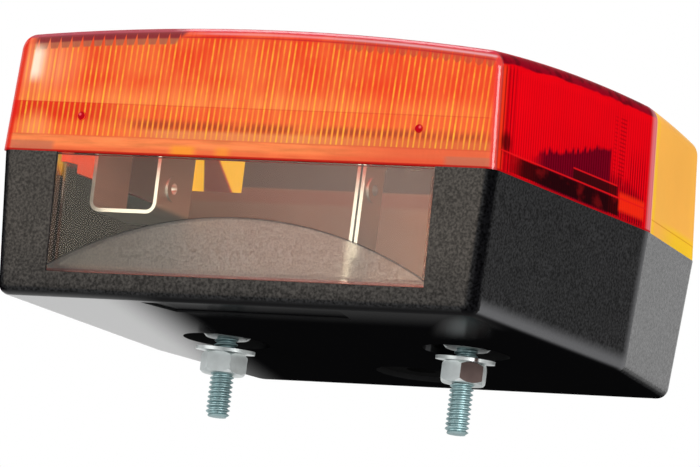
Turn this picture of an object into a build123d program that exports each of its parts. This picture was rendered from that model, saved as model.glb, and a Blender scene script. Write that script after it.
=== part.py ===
"""Rear combination lamp for a trailer, with a number plate window.

Frame: the origin lies midway between the two mounting bolts, on the outer face of the floor.
+X runs along the front wall, which holds the number plate window, +Y runs to the back, and
+Z runs up to the lens. All sizes are in millimetres and all angles in degrees.
"""
import os
from math import cos, hypot, radians, sin, sqrt, tan

from build123d import *

# Plan of the lamp, measured at the rim of the housing
rim_width = 148.6
rim_back_width = 129.4
rim_front_y = -65.2
rim_back_y = 68.0
taper_start_y = 22.0

# Housing
housing_height = 38.0
housing_wall = 2.8
floor_thickness = 3.0
wall_draft = 3.2
corner_radius = 4.0
floor_edge_radius = 3.0
cavity_corner_radius = 2.0
plain_field_length = 60.0
plain_field_width = 13.0
plain_field_angle = 75.0
plain_field_depth = 0.5
plain_field_y = -51.5

# Mounting bolts, with quarter inch coarse thread
bolt_spacing = 73.0
bolt_diameter = 6.35
bolt_core_diameter = 5.5
left_bolt_end_z = -20.6
right_bolt_end_z = -22.0
bolt_end_chamfer = 0.7
bolt_head_flats = 11.1
bolt_head_height = 4.1
bolt_hole_diameter = 6.8
nut_flats = 11.1
nut_height = 5.5
nut_chamfer = 0.8
left_nut_drop = 3.5
right_nut_drop = 3.0
left_nut_turn = 14.8
right_nut_turn = -9.7
clamp_nut_turn = 30.0
nut_bore_clearance = 0.05
washer_diameter = 15.9
washer_bore = 7.1
washer_thickness = 0.9
washer_lean = 4.5
washer_lean_heading = -60.2
washer_gap = 0.02
nut_recess_diameter = 23.4
nut_recess_depth = 6.2
bolt_seat_thickness = 4.1
recess_wall = 2.6
free_thread_gap = 0.3

# Lens
lens_peak_z = 75.5
crown_radius = 720.0
lens_draft = 3.5
lens_wall = 2.6
lens_crown_radius = 4.6
lens_front_radius = 2.5
lens_foot_width = 4.9
lens_foot_height = 2.5
lens_split_y = 23.6
rib_pitch = 1.65
rib_height = 0.7
rib_margin = 4.5
rib_bottom_gap = 3.6
pip_diameter = 2.1
pip_height = 0.3
pip_side_inset = 23.5
pip_rim_gap = 9.7

# Lens screws, which run through columns in the lens to posts in the housing
front_screw_inset = 12.2
front_screw_side_inset = 10.3
back_screw_inset = 11.9
back_screw_side_inset = 13.5
screw_post_diameter = 8.0
screw_post_rim_gap = 2.0
screw_seat_depth = 11.5
screw_shank_diameter = 3.0
screw_pilot_depth = 15.0
screw_tip_gap = 0.5
screw_head_diameter = 6.0
screw_head_height = 2.2
screw_slot_width = 0.9
screw_slot_depth = 1.0
screw_head_clearance = 0.3
screw_column_diameter = 9.0
screw_hole_clearance = 0.25

# Gasket in a groove of the lens foot
gasket_inset = 1.8
gasket_width = 1.8
gasket_height = 1.5
gasket_ledge_height = 2.0
gasket_clearance = 0.2

# Number plate window
window_width = 114.0
window_bottom_z = 6.4
window_thickness = 2.4
window_inset = 0.3
window_clearance = 0.2
window_flange = 1.8
window_flange_depth = 5.6
window_flange_top_gap = 2.4
window_lip = 2.0
window_lip_thickness = 1.6
window_lip_top_gap = 6.0
window_room_margin = 0.5
frost_arc_radius = 119.0
frost_arc_top_z = 22.5
frost_step = 0.2

# Folded bracket behind the window
sheet = 1.0
bend_radius = 2.5
strip_front_y = -52.0
strip_width = 17.5
u_left_x = -52.3
u_right_x = -33.0
u_bottom_z = 25.1
u_left_top_z = 45.5
strip_top_z = 46.5
leg_x = 25.0
leg_front_y = -48.0
leg_width = 10.0
foot_length = 18.0
foot_pad_height = 2.0
pad_margin = 1.0
foot_screw_first = 8.0
foot_screw_second = 15.0
u_eyelet_y = -44.5
u_eyelet_z = 32.7
leg_eyelet_z = 34.8
eyelet_flange_diameter = 6.8
eyelet_tube_diameter = 4.0
eyelet_bore = 3.0
eyelet_flange = 0.5
plate_gap = 0.6
socket_plate_bottom_z = 16.0
ear_radius = 13.0
ear_angle = 45.0
bracket_screw_diameter = 3.0
bracket_screw_length = 4.5
bracket_screw_head_diameter = 5.6
bracket_screw_head_height = 2.0

# Divider between the red and the amber chamber
divider_thickness = 1.6
divider_side_gap = 0.25
divider_notch_x = -51.0
divider_notch_z = 44.0
divider_lens_gap = 0.6
divider_slot_clearance = 0.15
divider_rib_thickness = 1.5
divider_rib_length = 8.0
divider_rib_grip = 2.0
divider_rib_rim_gap = 5.0

# Bayonet sockets and bulbs: their axes run along X and the bulbs point to -X
tail_axis_y = -24.0
tail_axis_z = 57.0
indicator_axis_y = 44.5
indicator_axis_z = 50.0
indicator_leg_width = 13.0
sleeve_bore = 15.6
sleeve_wall = 0.5
sleeve_length = 23.0
sleeve_lip_thickness = 1.0
sleeve_lip_width = 1.3
sleeve_flange_diameter = 19.6
sleeve_flange_thickness = 0.8
sleeve_seat = 14.0
ear_hole_clearance = 0.05
pin_slot_width = 2.4
pin_diameter = 2.0
pin_height = 1.0
pin_turn = 3.2
cap_diameter = 15.0
cap_length = 19.0
cap_base_gap = 6.0
cap_pin_from_base = 7.0
contact_diameter = 3.0
contact_height = 1.0
glass_diameter = 25.0
glass_neck_diameter = 13.6
glass_wall = 0.7
glass_length = 38.0
glass_seat = 4.0
glass_clearance = 0.1
glass_shoulder_radius = 4.0
filament_diameter = 0.9
filament_length = 6.0
filament_offset = 2.5
lead_diameter = 0.6
insulator_thickness = 2.0
insulator_clearance = 0.1
blade_thickness = 0.5
blade_width = 3.0
blade_reach = 5.0
tail_contact_offset = 3.6

# Cable grommet
grommet_y = 42.0
grommet_recess_diameter = 24.0
grommet_recess_depth = 3.2
grommet_wall = 3.0
grommet_hole = 15.0
grommet_flange_diameter = 21.0
grommet_flange = 2.0
grommet_top_diameter = 19.0
grommet_bore = 8.0
grommet_clearance = 0.1

# Values that follow from the sizes above
draft_inset = housing_height * tan(radians(wall_draft))
floor_inset = housing_wall + draft_inset * (1 - floor_thickness / housing_height)
sleeve_diameter = sleeve_bore + 2 * sleeve_wall
bolt_seat_z = nut_recess_depth + bolt_seat_thickness
nut_tops = [-left_nut_drop, -right_nut_drop]
nut_turns = [left_nut_turn, right_nut_turn]
bolt_ends = [left_bolt_end_z, right_bolt_end_z]
washer_rest = (nut_flats / sqrt(3) - nut_chamfer) * tan(radians(washer_lean)) + washer_gap
washer_normal = (
    sin(radians(washer_lean)) * cos(radians(washer_lean_heading)),
    sin(radians(washer_lean)) * sin(radians(washer_lean_heading)),
    cos(radians(washer_lean)),
)
bolt_places = [(-bolt_spacing / 2, 0), (bolt_spacing / 2, 0)]
screw_post_top_z = housing_height - screw_post_rim_gap
screw_seat_z = lens_peak_z - screw_seat_depth
screw_tip_z = screw_post_top_z - screw_pilot_depth + screw_tip_gap
leg_middle_y = leg_front_y + leg_width / 2
leg_eyelet_place = (leg_middle_y, leg_eyelet_z)
u_eyelet_place = (u_eyelet_y, u_eyelet_z)
foot_seat_z = floor_thickness + foot_pad_height
socket_plate_x = leg_x + sheet / 2 + plate_gap + sheet / 2
sleeve_mouth_x = socket_plate_x - sheet / 2 - sleeve_seat
leg_shoulder_z = strip_top_z - 2 * bend_radius
tail_foot_places = [(leg_x + foot_screw_first, leg_middle_y), (leg_x + foot_screw_second, leg_middle_y)]
indicator_foot_places = [
    (socket_plate_x + foot_screw_first, indicator_axis_y),
    (socket_plate_x + foot_screw_second, indicator_axis_y),
]
ear_run = ear_radius * cos(radians(ear_angle))
ear_rise = ear_radius * sin(radians(ear_angle))
grommet_seat_z = grommet_recess_depth + grommet_wall
panel_width = window_width - 2 * window_clearance
panel_back = window_inset + window_thickness
frost_width = panel_width - 2 * window_flange
window_room_width = window_width + 2 * (window_lip + window_room_margin)
lens_lean = (lens_peak_z - housing_height) * tan(radians(lens_draft))
rib_foot_y = rim_front_y + lens_wall
rib_bottom_z = housing_height + rib_bottom_gap
rib_count = int((rim_width - 2 * (lens_wall + rib_margin + lens_lean)) / rib_pitch)
rib_half_span = rib_count * rib_pitch / 2
pip_x = rim_width / 2 - pip_side_inset
pip_z = housing_height + pip_rim_gap
divider_rib_top_z = housing_height - divider_rib_rim_gap
divider_crown_radius = sqrt(
    (crown_radius - lens_wall - divider_lens_gap) ** 2 - (lens_split_y + divider_thickness / 2) ** 2
)
cap_base_z = cap_base_gap - sleeve_length
insulator_z = sleeve_lip_thickness + insulator_thickness - sleeve_length
pin_z = cap_base_z + cap_pin_from_base
glass_base_z = cap_base_z + cap_length - glass_seat
glass_centre_z = glass_base_z + glass_length - glass_diameter / 2

# The front wall leans in towards the floor, and this plane lies on its outer face
front_plane = Plane(
    (0, rim_front_y, housing_height),
    x_dir=(1, 0, 0),
    z_dir=(0, -cos(radians(wall_draft)), -sin(radians(wall_draft))),
)


def level(z):
    """Horizontal plane at a height."""
    return Plane.XY.offset(z)


def upright(y):
    """Plane across the lamp at a depth: its x is +X, its y is +Z and it faces the front."""
    return Plane((0, y, 0), x_dir=(1, 0, 0), z_dir=(0, -1, 0))


def sideways(x):
    """Plane along the lamp: its x is +Y, its y is +Z and it faces +X."""
    return Plane((x, 0, 0), x_dir=(0, 1, 0), z_dir=(1, 0, 0))


def down_wall(z):
    """Distance from the rim to a height, measured down the leaning front wall."""
    return (housing_height - z) / cos(radians(wall_draft))


panel_bottom = down_wall(window_bottom_z) - window_clearance


def plan_outline(front, sides, back):
    """Corners of the lamp's plan, with each edge moved in by its own amount."""
    half, half_back = rim_width / 2, rim_back_width / 2
    run_in, run = half - half_back, rim_back_y - taper_start_y
    slant = hypot(run_in, run)
    knee_y = taper_start_y - sides * (slant - run) / run_in
    back_x = half_back + (run_in * back - sides * slant) / run
    right = [(half - sides, rim_front_y + front), (half - sides, knee_y), (back_x, rim_back_y - back)]
    left = [(-x, y) for x, y in reversed(right)]
    return right + left


def even_outline(inset):
    """Corners of the plan with every edge moved in by the same amount."""
    return plan_outline(inset, inset, inset)


def half_width(y, inset):
    """Half the width of the plan at a depth, with its sides moved in."""
    run_in, run = (rim_width - rim_back_width) / 2, rim_back_y - taper_start_y
    straight = rim_width / 2 - inset
    tapered = rim_width / 2 - (run_in * (y - taper_start_y) + inset * hypot(run_in, run)) / run
    return min(straight, tapered)


def lens_outline(z, inset):
    """Section of the lens at a height: its front is upright and its other sides lean in."""
    lean = (z - housing_height) * tan(radians(lens_draft))
    return plan_outline(inset, inset + lean, inset + lean)


# The lens screws keep their distance from the rim
front_screw_x = half_width(rim_front_y, front_screw_side_inset)
front_screw_y = rim_front_y + front_screw_inset
back_screw_y = rim_back_y - back_screw_inset
back_screw_x = half_width(back_screw_y, back_screw_side_inset)
screw_places = [
    (-front_screw_x, front_screw_y),
    (front_screw_x, front_screw_y),
    (-back_screw_x, back_screw_y),
    (back_screw_x, back_screw_y),
]

# The divider passes the floor of the housing, the gasket's ledge, the lens foot and the lens wall
ledge_inset = gasket_inset + gasket_width + gasket_clearance
divider_room_inset = max(floor_inset, ledge_inset, lens_foot_width, lens_wall + lens_lean)
divider_half_width = half_width(lens_split_y + divider_thickness / 2, divider_room_inset) - divider_side_gap
divider_rib_shift = (divider_thickness + divider_rib_thickness) / 2 + divider_slot_clearance
divider_rib_x = divider_half_width - divider_rib_grip + divider_rib_length / 2
divider_rib_places = [
    (side * divider_rib_x, lens_split_y + shift)
    for side in (-1, 1)
    for shift in (-divider_rib_shift, divider_rib_shift)
]

# Space inside the housing, with pairs of ribs left on its side walls to hold the divider
with BuildPart() as housing_space:
    with BuildSketch(level(floor_thickness)):
        Polygon(*even_outline(floor_inset), align=None)
        fillet(vertices(), cavity_corner_radius)
    with BuildSketch(level(housing_height)):
        Polygon(*even_outline(housing_wall), align=None)
        fillet(vertices(), cavity_corner_radius)
    loft(ruled=True)
    with BuildSketch(level(floor_thickness)):
        with Locations(*divider_rib_places):
            Rectangle(divider_rib_length, divider_rib_thickness)
    extrude(amount=divider_rib_top_z - floor_thickness, mode=Mode.SUBTRACT)

with BuildPart() as housing:
    with BuildSketch():
        Polygon(*even_outline(draft_inset), align=None)
    with BuildSketch(level(housing_height)):
        Polygon(*even_outline(0), align=None)
    loft(ruled=True)
    fillet(housing.edges().group_by(Axis.Z)[1], corner_radius)
    fillet(housing.edges().group_by(Axis.Z)[0], floor_edge_radius)
    add(housing_space.part, mode=Mode.SUBTRACT)
    # Ledge that carries the gasket
    with BuildSketch(level(housing_height)):
        Polygon(*even_outline(housing_wall / 2), align=None)
        Polygon(*even_outline(ledge_inset), align=None, mode=Mode.SUBTRACT)
    extrude(amount=-gasket_ledge_height)
    # Cut-out for the number plate window, open at the rim, and room for its lips behind the wall
    with BuildSketch(front_plane):
        Rectangle(window_width, 2 * down_wall(window_bottom_z))
    extrude(amount=-housing_wall - window_lip, both=True, mode=Mode.SUBTRACT)
    with BuildSketch(front_plane.offset(-housing_wall)):
        Rectangle(window_room_width, 2 * down_wall(window_bottom_z))
    extrude(amount=-window_flange_depth, mode=Mode.SUBTRACT)
    # Cups for the clamp nuts, with the seats of the bolt heads on top
    with BuildSketch(level(floor_thickness / 2)):
        with Locations(*bolt_places):
            Circle(nut_recess_diameter / 2 + recess_wall)
    extrude(amount=bolt_seat_z - floor_thickness / 2)
    with BuildSketch():
        with Locations(*bolt_places):
            Circle(nut_recess_diameter / 2)
    extrude(amount=nut_recess_depth, mode=Mode.SUBTRACT)
    with BuildSketch():
        with Locations(*bolt_places):
            Circle(bolt_hole_diameter / 2)
    extrude(amount=bolt_seat_z, mode=Mode.SUBTRACT)
    # Cable entry
    with BuildSketch(level(floor_thickness / 2)):
        with Locations((0, grommet_y)):
            Circle(grommet_recess_diameter / 2 + recess_wall)
    extrude(amount=grommet_seat_z - floor_thickness / 2)
    with BuildSketch():
        with Locations((0, grommet_y)):
            Circle(grommet_recess_diameter / 2)
    extrude(amount=grommet_recess_depth, mode=Mode.SUBTRACT)
    with BuildSketch():
        with Locations((0, grommet_y)):
            Circle(grommet_hole / 2)
    extrude(amount=grommet_seat_z, mode=Mode.SUBTRACT)
    # Posts for the lens screws
    with BuildSketch(level(floor_thickness / 2)):
        with Locations(*screw_places):
            Circle(screw_post_diameter / 2)
    extrude(amount=screw_post_top_z - floor_thickness / 2)
    with BuildSketch(level(screw_post_top_z)):
        with Locations(*screw_places):
            Circle(screw_shank_diameter / 2)
    extrude(amount=-screw_pilot_depth, mode=Mode.SUBTRACT)
    # Pads under the feet of the two brackets
    with BuildSketch(level(floor_thickness / 2)):
        with Locations((leg_x + foot_length / 2, leg_middle_y)):
            Rectangle(foot_length + 2 * pad_margin, leg_width)
        with Locations((socket_plate_x + foot_length / 2, indicator_axis_y)):
            Rectangle(foot_length + 2 * pad_margin, indicator_leg_width)
    extrude(amount=foot_seat_z - floor_thickness / 2)
    with BuildSketch(level(foot_seat_z)):
        with Locations(*tail_foot_places, *indicator_foot_places):
            Circle(bracket_screw_diameter / 2)
    extrude(amount=sheet - bracket_screw_length, mode=Mode.SUBTRACT)
    # Shallow plain field in the underside
    with BuildSketch():
        with Locations((0, plain_field_y)):
            Trapezoid(plain_field_length, plain_field_width, plain_field_angle)
    extrude(amount=plain_field_depth, mode=Mode.SUBTRACT)
housing.part.label = "housing"

# Space inside the lens
with BuildPart() as lens_cavity:
    for z in (housing_height + lens_foot_height, lens_peak_z):
        with BuildSketch(level(z)):
            Polygon(*lens_outline(z, lens_wall), align=None)
    loft(ruled=True)
    with Locations((0, 0, lens_peak_z - crown_radius)):
        Sphere(crown_radius - lens_wall, rotation=(90, 0, 0), mode=Mode.INTERSECT)

# Upright prisms on the inner side of the front wall
with BuildPart() as lens_ribs:
    rib_root_y = rib_foot_y - lens_wall / 3
    rib_points = [(-rib_half_span, rib_root_y)]
    for index in range(rib_count):
        rib_points.append((index * rib_pitch - rib_half_span, rib_foot_y))
        rib_points.append(((index + 0.5) * rib_pitch - rib_half_span, rib_foot_y + rib_height))
    rib_points.append((rib_half_span, rib_foot_y))
    rib_points.append((rib_half_span, rib_root_y))
    with BuildSketch(level(rib_bottom_z)):
        Polygon(*rib_points, align=None)
    extrude(amount=lens_peak_z - rib_bottom_z)
    with Locations((0, 0, lens_peak_z - crown_radius)):
        Sphere(crown_radius - lens_wall / 2, rotation=(90, 0, 0), mode=Mode.INTERSECT)

# Columns that carry the heads of the screws below the crown
with BuildPart() as screw_columns:
    with BuildSketch(level(screw_post_top_z)):
        with Locations(*screw_places):
            Circle(screw_column_diameter / 2)
    extrude(amount=lens_peak_z - screw_post_top_z)
    with Locations((0, 0, lens_peak_z - crown_radius)):
        Sphere(crown_radius - lens_wall / 2, rotation=(90, 0, 0), mode=Mode.INTERSECT)

# Red and amber lens in one piece, cut apart below
with BuildPart() as lens_shell:
    for z in (housing_height, lens_peak_z):
        with BuildSketch(level(z)):
            Polygon(*lens_outline(z, 0), align=None)
    loft(ruled=True)
    with Locations((0, 0, lens_peak_z - crown_radius)):
        Sphere(crown_radius, rotation=(90, 0, 0), mode=Mode.INTERSECT)
    # The crown is rounded more at its sides and back than along the front wall
    foot_edges = lens_shell.edges().filter_by(GeomType.LINE).filter_by(Plane.XY)
    front_edges = lens_shell.faces().sort_by(Axis.Y)[0].edges()
    fillet(lens_shell.edges() - foot_edges - front_edges, lens_crown_radius)
    front_edges = lens_shell.faces().sort_by(Axis.Y)[0].edges()
    fillet(front_edges - front_edges.group_by(Axis.Z)[0], lens_front_radius)
    add(lens_cavity.part, mode=Mode.SUBTRACT)
    with BuildSketch(level(housing_height)):
        Polygon(*even_outline(lens_foot_width), align=None)
    extrude(amount=lens_foot_height, mode=Mode.SUBTRACT)
    # Groove for the gasket
    with BuildSketch(level(housing_height)):
        Polygon(*even_outline(gasket_inset - gasket_clearance), align=None)
        fillet(vertices(), cavity_corner_radius)
        Polygon(*even_outline(ledge_inset), align=None, mode=Mode.SUBTRACT)
    extrude(amount=gasket_height, mode=Mode.SUBTRACT)
    add(lens_ribs.part)
    add(screw_columns.part)
    with BuildSketch(level(screw_seat_z)):
        with Locations(*screw_places):
            Circle(screw_head_diameter / 2 + screw_head_clearance)
    extrude(amount=lens_peak_z - screw_seat_z, mode=Mode.SUBTRACT)
    with BuildSketch(level(screw_post_top_z)):
        with Locations(*screw_places):
            Circle(screw_shank_diameter / 2 + screw_hole_clearance)
    extrude(amount=screw_seat_z - screw_post_top_z, mode=Mode.SUBTRACT)

with BuildPart() as red_lens:
    add(lens_shell.part)
    split(bisect_by=upright(lens_split_y), keep=Keep.TOP)
    with BuildSketch(upright(rim_front_y)):
        with Locations((-pip_x, pip_z), (pip_x, pip_z)):
            Circle(pip_diameter / 2)
    extrude(amount=pip_height)
red_lens.part.label = "red_lens"

with BuildPart() as amber_lens:
    add(lens_shell.part)
    split(bisect_by=upright(lens_split_y), keep=Keep.BOTTOM)
amber_lens.part.label = "amber_lens"

with BuildPart() as lens_gasket:
    with BuildSketch(level(housing_height)):
        Polygon(*even_outline(gasket_inset), align=None)
        fillet(vertices(), cavity_corner_radius)
        Polygon(*even_outline(gasket_inset + gasket_width), align=None, mode=Mode.SUBTRACT)
    extrude(amount=gasket_height)
lens_gasket.part.label = "lens_gasket"

# Slotted pan head screws
with BuildPart() as lens_screws:
    with BuildSketch(level(screw_seat_z)):
        with Locations(*screw_places):
            Circle(screw_head_diameter / 2)
    extrude(amount=screw_head_height)
    chamfer(lens_screws.edges().group_by(Axis.Z)[-1], screw_head_height / 3)
    with BuildSketch(level(screw_seat_z)):
        with Locations(*screw_places):
            Circle(screw_shank_diameter / 2)
    extrude(amount=screw_tip_z - screw_seat_z)
    with BuildSketch(level(screw_seat_z + screw_head_height)):
        with Locations(*screw_places):
            Rectangle(screw_head_diameter, screw_slot_width)
    extrude(amount=-screw_slot_depth, mode=Mode.SUBTRACT)
lens_screws.part.label = "lens_screws"

# Number plate window: a clear panel with a flange round three sides
with BuildPart() as number_plate_window:
    with BuildSketch(front_plane.offset(-window_inset)):
        with Locations((0, -panel_bottom)):
            Rectangle(panel_width, panel_bottom - window_clearance, align=(Align.CENTER, Align.MIN))
    extrude(amount=-window_thickness)
    with BuildSketch(front_plane.offset(-panel_back)):
        with Locations((0, -panel_bottom)):
            Rectangle(panel_width, panel_bottom - window_flange_top_gap, align=(Align.CENTER, Align.MIN))
        with Locations((0, window_flange - panel_bottom)):
            Rectangle(frost_width, panel_bottom, align=(Align.CENTER, Align.MIN), mode=Mode.SUBTRACT)
    extrude(amount=-window_flange_depth)
    lip_x = (panel_width + window_lip) / 2
    with BuildSketch(front_plane.offset(-housing_wall - window_clearance)):
        with Locations((-lip_x, -panel_bottom), (lip_x, -panel_bottom)):
            Rectangle(window_lip, panel_bottom - window_lip_top_gap, align=(Align.CENTER, Align.MIN))
    extrude(amount=-window_lip_thickness)
    # Frosted field under an arc, a thin step on the back of the panel
    with BuildSketch(front_plane.offset(-panel_back)):
        with Locations((0, -down_wall(frost_arc_top_z) - frost_arc_radius)):
            Circle(frost_arc_radius)
        with Locations((0, window_flange - panel_bottom)):
            Rectangle(frost_width, panel_bottom, align=(Align.CENTER, Align.MIN), mode=Mode.INTERSECT)
    extrude(amount=-frost_step)
number_plate_window.part.label = "number_plate_window"

# Mounting bolts: head inside, core of the thread inside the nuts, full thread size below them
with BuildPart() as mounting_bolts:
    with BuildSketch(level(bolt_seat_z)):
        with Locations(*bolt_places):
            RegularPolygon(bolt_head_flats / 2, 6, major_radius=False, rotation=30)
    extrude(amount=bolt_head_height)
    for place, top_z, end_z in zip(bolt_places, nut_tops, bolt_ends):
        thread_top_z = top_z - nut_height - free_thread_gap
        with BuildSketch(level(bolt_seat_z)):
            with Locations(place):
                Circle(bolt_core_diameter / 2)
        extrude(amount=thread_top_z - bolt_seat_z)
        with BuildSketch(level(thread_top_z)):
            with Locations(place):
                Circle(bolt_diameter / 2)
        extrude(amount=end_z - thread_top_z)
        chamfer(mounting_bolts.edges(Select.LAST).group_by(Axis.Z)[0], bolt_end_chamfer)
mounting_bolts.part.label = "mounting_bolts"


def hex_nut(place, top_z, turn):
    """Hex nut on a bolt, turned about it, with its corners bevelled at both ends."""
    with BuildPart() as nut:
        with BuildSketch(level(top_z)):
            with Locations(place):
                Circle(nut_flats / sqrt(3))
        extrude(amount=-nut_height)
        chamfer(nut.edges().filter_by(GeomType.CIRCLE), nut_chamfer)
        with BuildSketch(level(top_z)):
            with Locations(place):
                RegularPolygon(nut_flats / 2, 6, major_radius=False, rotation=turn)
                Circle(bolt_core_diameter / 2 + nut_bore_clearance, mode=Mode.SUBTRACT)
        extrude(amount=-nut_height, mode=Mode.INTERSECT)
    return nut.part


with BuildPart() as clamp_nuts:
    for place in bolt_places:
        add(hex_nut(place, nut_recess_depth, clamp_nut_turn))
clamp_nuts.part.label = "clamp_nuts"

with BuildPart() as mounting_nuts:
    for place, top_z, turn in zip(bolt_places, nut_tops, nut_turns):
        add(hex_nut(place, top_z, turn))
mounting_nuts.part.label = "mounting_nuts"

# Loose washers, which lean on the front edges of the nuts
with BuildPart() as mounting_washers:
    for (x, y), top_z in zip(bolt_places, nut_tops):
        with BuildSketch(Plane((x, y, top_z + washer_rest), z_dir=washer_normal)):
            Circle(washer_diameter / 2)
            Circle(washer_bore / 2, mode=Mode.SUBTRACT)
        extrude(amount=washer_thickness)
mounting_washers.part.label = "mounting_washers"

# Folded strip: U fold behind the left of the window, bridge, leg and foot
with BuildPart() as bulb_bracket:
    with BuildSketch(upright(strip_front_y)):
        with BuildLine():
            FilletPolyline(
                (u_left_x, u_left_top_z),
                (u_left_x, u_bottom_z),
                (u_right_x, u_bottom_z),
                (u_right_x, strip_top_z),
                (leg_x, strip_top_z),
                (leg_x, foot_seat_z + sheet / 2),
                (leg_x + foot_length, foot_seat_z + sheet / 2),
                radius=bend_radius,
            )
        trace(line_width=sheet)
    extrude(amount=-strip_width)
    # The leg and its foot are narrower than the bridge
    with BuildSketch(sideways(leg_x - 2 * bend_radius)):
        with Locations((leg_front_y, 0)):
            Rectangle(strip_width, leg_shoulder_z, align=(Align.MAX, Align.MIN))
        with Locations((leg_front_y + leg_width, 0)):
            Rectangle(strip_width, leg_shoulder_z, align=(Align.MIN, Align.MIN))
    extrude(amount=foot_length + 4 * bend_radius, mode=Mode.SUBTRACT)
    with BuildSketch(level(foot_seat_z)):
        with Locations(*tail_foot_places):
            Circle(bracket_screw_diameter / 2)
    extrude(amount=sheet, mode=Mode.SUBTRACT)
    for wall_x, place in ((u_right_x, u_eyelet_place), (leg_x, leg_eyelet_place)):
        with BuildSketch(sideways(wall_x - sheet / 2)):
            with Locations(place):
                Circle(eyelet_tube_diameter / 2)
        extrude(amount=sheet, mode=Mode.SUBTRACT)
bulb_bracket.part.label = "bulb_bracket"

# Plate that carries the tail socket, held to the leg by an eyelet
with BuildPart() as socket_plate:
    with BuildSketch(sideways(socket_plate_x - sheet / 2)):
        with Locations((leg_middle_y, socket_plate_bottom_z)):
            Rectangle(leg_width, strip_top_z - socket_plate_bottom_z, align=(Align.CENTER, Align.MIN))
        Polygon(
            (leg_front_y, leg_shoulder_z),
            (leg_front_y + leg_width, leg_shoulder_z),
            (tail_axis_y + ear_run, tail_axis_z - ear_rise),
            (tail_axis_y - ear_run, tail_axis_z + ear_rise),
            align=None,
        )
        with Locations((tail_axis_y, tail_axis_z)):
            Circle(ear_radius)
            Circle(sleeve_diameter / 2 + ear_hole_clearance, mode=Mode.SUBTRACT)
        with Locations(leg_eyelet_place):
            Circle(eyelet_tube_diameter / 2, mode=Mode.SUBTRACT)
    extrude(amount=sheet)
socket_plate.part.label = "socket_plate"


def eyelet(place, steps):
    """Stepped ring along X at a (y, z) place, from a row of (start, end, diameter)."""
    with BuildPart() as ring:
        for start_x, end_x, diameter in steps:
            with BuildSketch(sideways(start_x)):
                with Locations(place):
                    Circle(diameter / 2)
                    Circle(eyelet_bore / 2, mode=Mode.SUBTRACT)
            extrude(amount=end_x - start_x)
    return ring.part


# One eyelet in the right wall of the U, and one through the leg and the socket plate
with BuildPart() as bracket_eyelets:
    u_faces = (u_right_x - sheet / 2, u_right_x + sheet / 2)
    leg_faces = (leg_x - sheet / 2, leg_x + sheet / 2)
    plate_faces = (socket_plate_x - sheet / 2, socket_plate_x + sheet / 2)
    for place, (start_x, end_x) in (
        (u_eyelet_place, u_faces),
        (leg_eyelet_place, (leg_faces[0], plate_faces[1])),
    ):
        add(
            eyelet(
                place,
                [
                    (start_x - eyelet_flange, start_x, eyelet_flange_diameter),
                    (start_x, end_x, eyelet_tube_diameter),
                    (end_x, end_x + eyelet_flange, eyelet_flange_diameter),
                ],
            )
        )
    add(eyelet(leg_eyelet_place, [(leg_faces[1], plate_faces[0], eyelet_flange_diameter)]))
bracket_eyelets.part.label = "bracket_eyelets"

# Indicator bracket: an angle of the same sheet behind the divider
with BuildPart() as indicator_bracket:
    with BuildSketch(upright(indicator_axis_y - indicator_leg_width / 2)):
        with BuildLine():
            FilletPolyline(
                (socket_plate_x, indicator_axis_z),
                (socket_plate_x, foot_seat_z + sheet / 2),
                (socket_plate_x + foot_length, foot_seat_z + sheet / 2),
                radius=bend_radius,
            )
        trace(line_width=sheet)
    extrude(amount=-indicator_leg_width)
    with BuildSketch(sideways(socket_plate_x - sheet / 2)):
        with Locations((indicator_axis_y, indicator_axis_z)):
            Circle(ear_radius)
    extrude(amount=sheet)
    with BuildSketch(sideways(socket_plate_x - sheet / 2)):
        with Locations((indicator_axis_y, indicator_axis_z)):
            Circle(sleeve_diameter / 2 + ear_hole_clearance)
    extrude(amount=sheet, mode=Mode.SUBTRACT)
    with BuildSketch(level(foot_seat_z)):
        with Locations(*indicator_foot_places):
            Circle(bracket_screw_diameter / 2)
    extrude(amount=sheet, mode=Mode.SUBTRACT)
indicator_bracket.part.label = "indicator_bracket"

with BuildPart() as bracket_screws:
    with BuildSketch(level(foot_seat_z + sheet)):
        with Locations(*tail_foot_places, *indicator_foot_places):
            Circle(bracket_screw_head_diameter / 2)
    extrude(amount=bracket_screw_head_height)
    chamfer(bracket_screws.edges().group_by(Axis.Z)[-1], bracket_screw_head_height / 3)
    with BuildSketch(level(foot_seat_z + sheet)):
        with Locations(*tail_foot_places, *indicator_foot_places):
            Circle(bracket_screw_diameter / 2)
    extrude(amount=-bracket_screw_length)
bracket_screws.part.label = "bracket_screws"

# Divider: its top follows the crown of the lens, and its left top corner is notched
with BuildPart() as chamber_divider:
    with BuildSketch(upright(lens_split_y + divider_thickness / 2)):
        with Locations((0, floor_thickness)):
            Rectangle(2 * divider_half_width, lens_peak_z, align=(Align.CENTER, Align.MIN))
        with Locations((0, lens_peak_z - crown_radius)):
            Circle(divider_crown_radius, mode=Mode.INTERSECT)
        with Locations((divider_notch_x, divider_notch_z)):
            Rectangle(divider_half_width, lens_peak_z, align=(Align.MAX, Align.MIN), mode=Mode.SUBTRACT)
    extrude(amount=divider_thickness)
chamber_divider.part.label = "chamber_divider"


# A socket and its bulb share one plane at the mouth of the sleeve, which faces along the bulb
def lengthwise(mouth):
    """Plane through the axis of a socket: its x is radial and its y points out of the mouth."""
    return Plane(mouth.origin, x_dir=mouth.x_dir, z_dir=-mouth.y_dir)


def pin_planes(mouth):
    """Planes that face out along the two bayonet pins, with y out of the mouth."""
    return [
        Plane(mouth.origin, x_dir=mouth.y_dir, z_dir=mouth.x_dir),
        Plane(mouth.origin, x_dir=-mouth.y_dir, z_dir=-mouth.x_dir),
    ]


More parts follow.
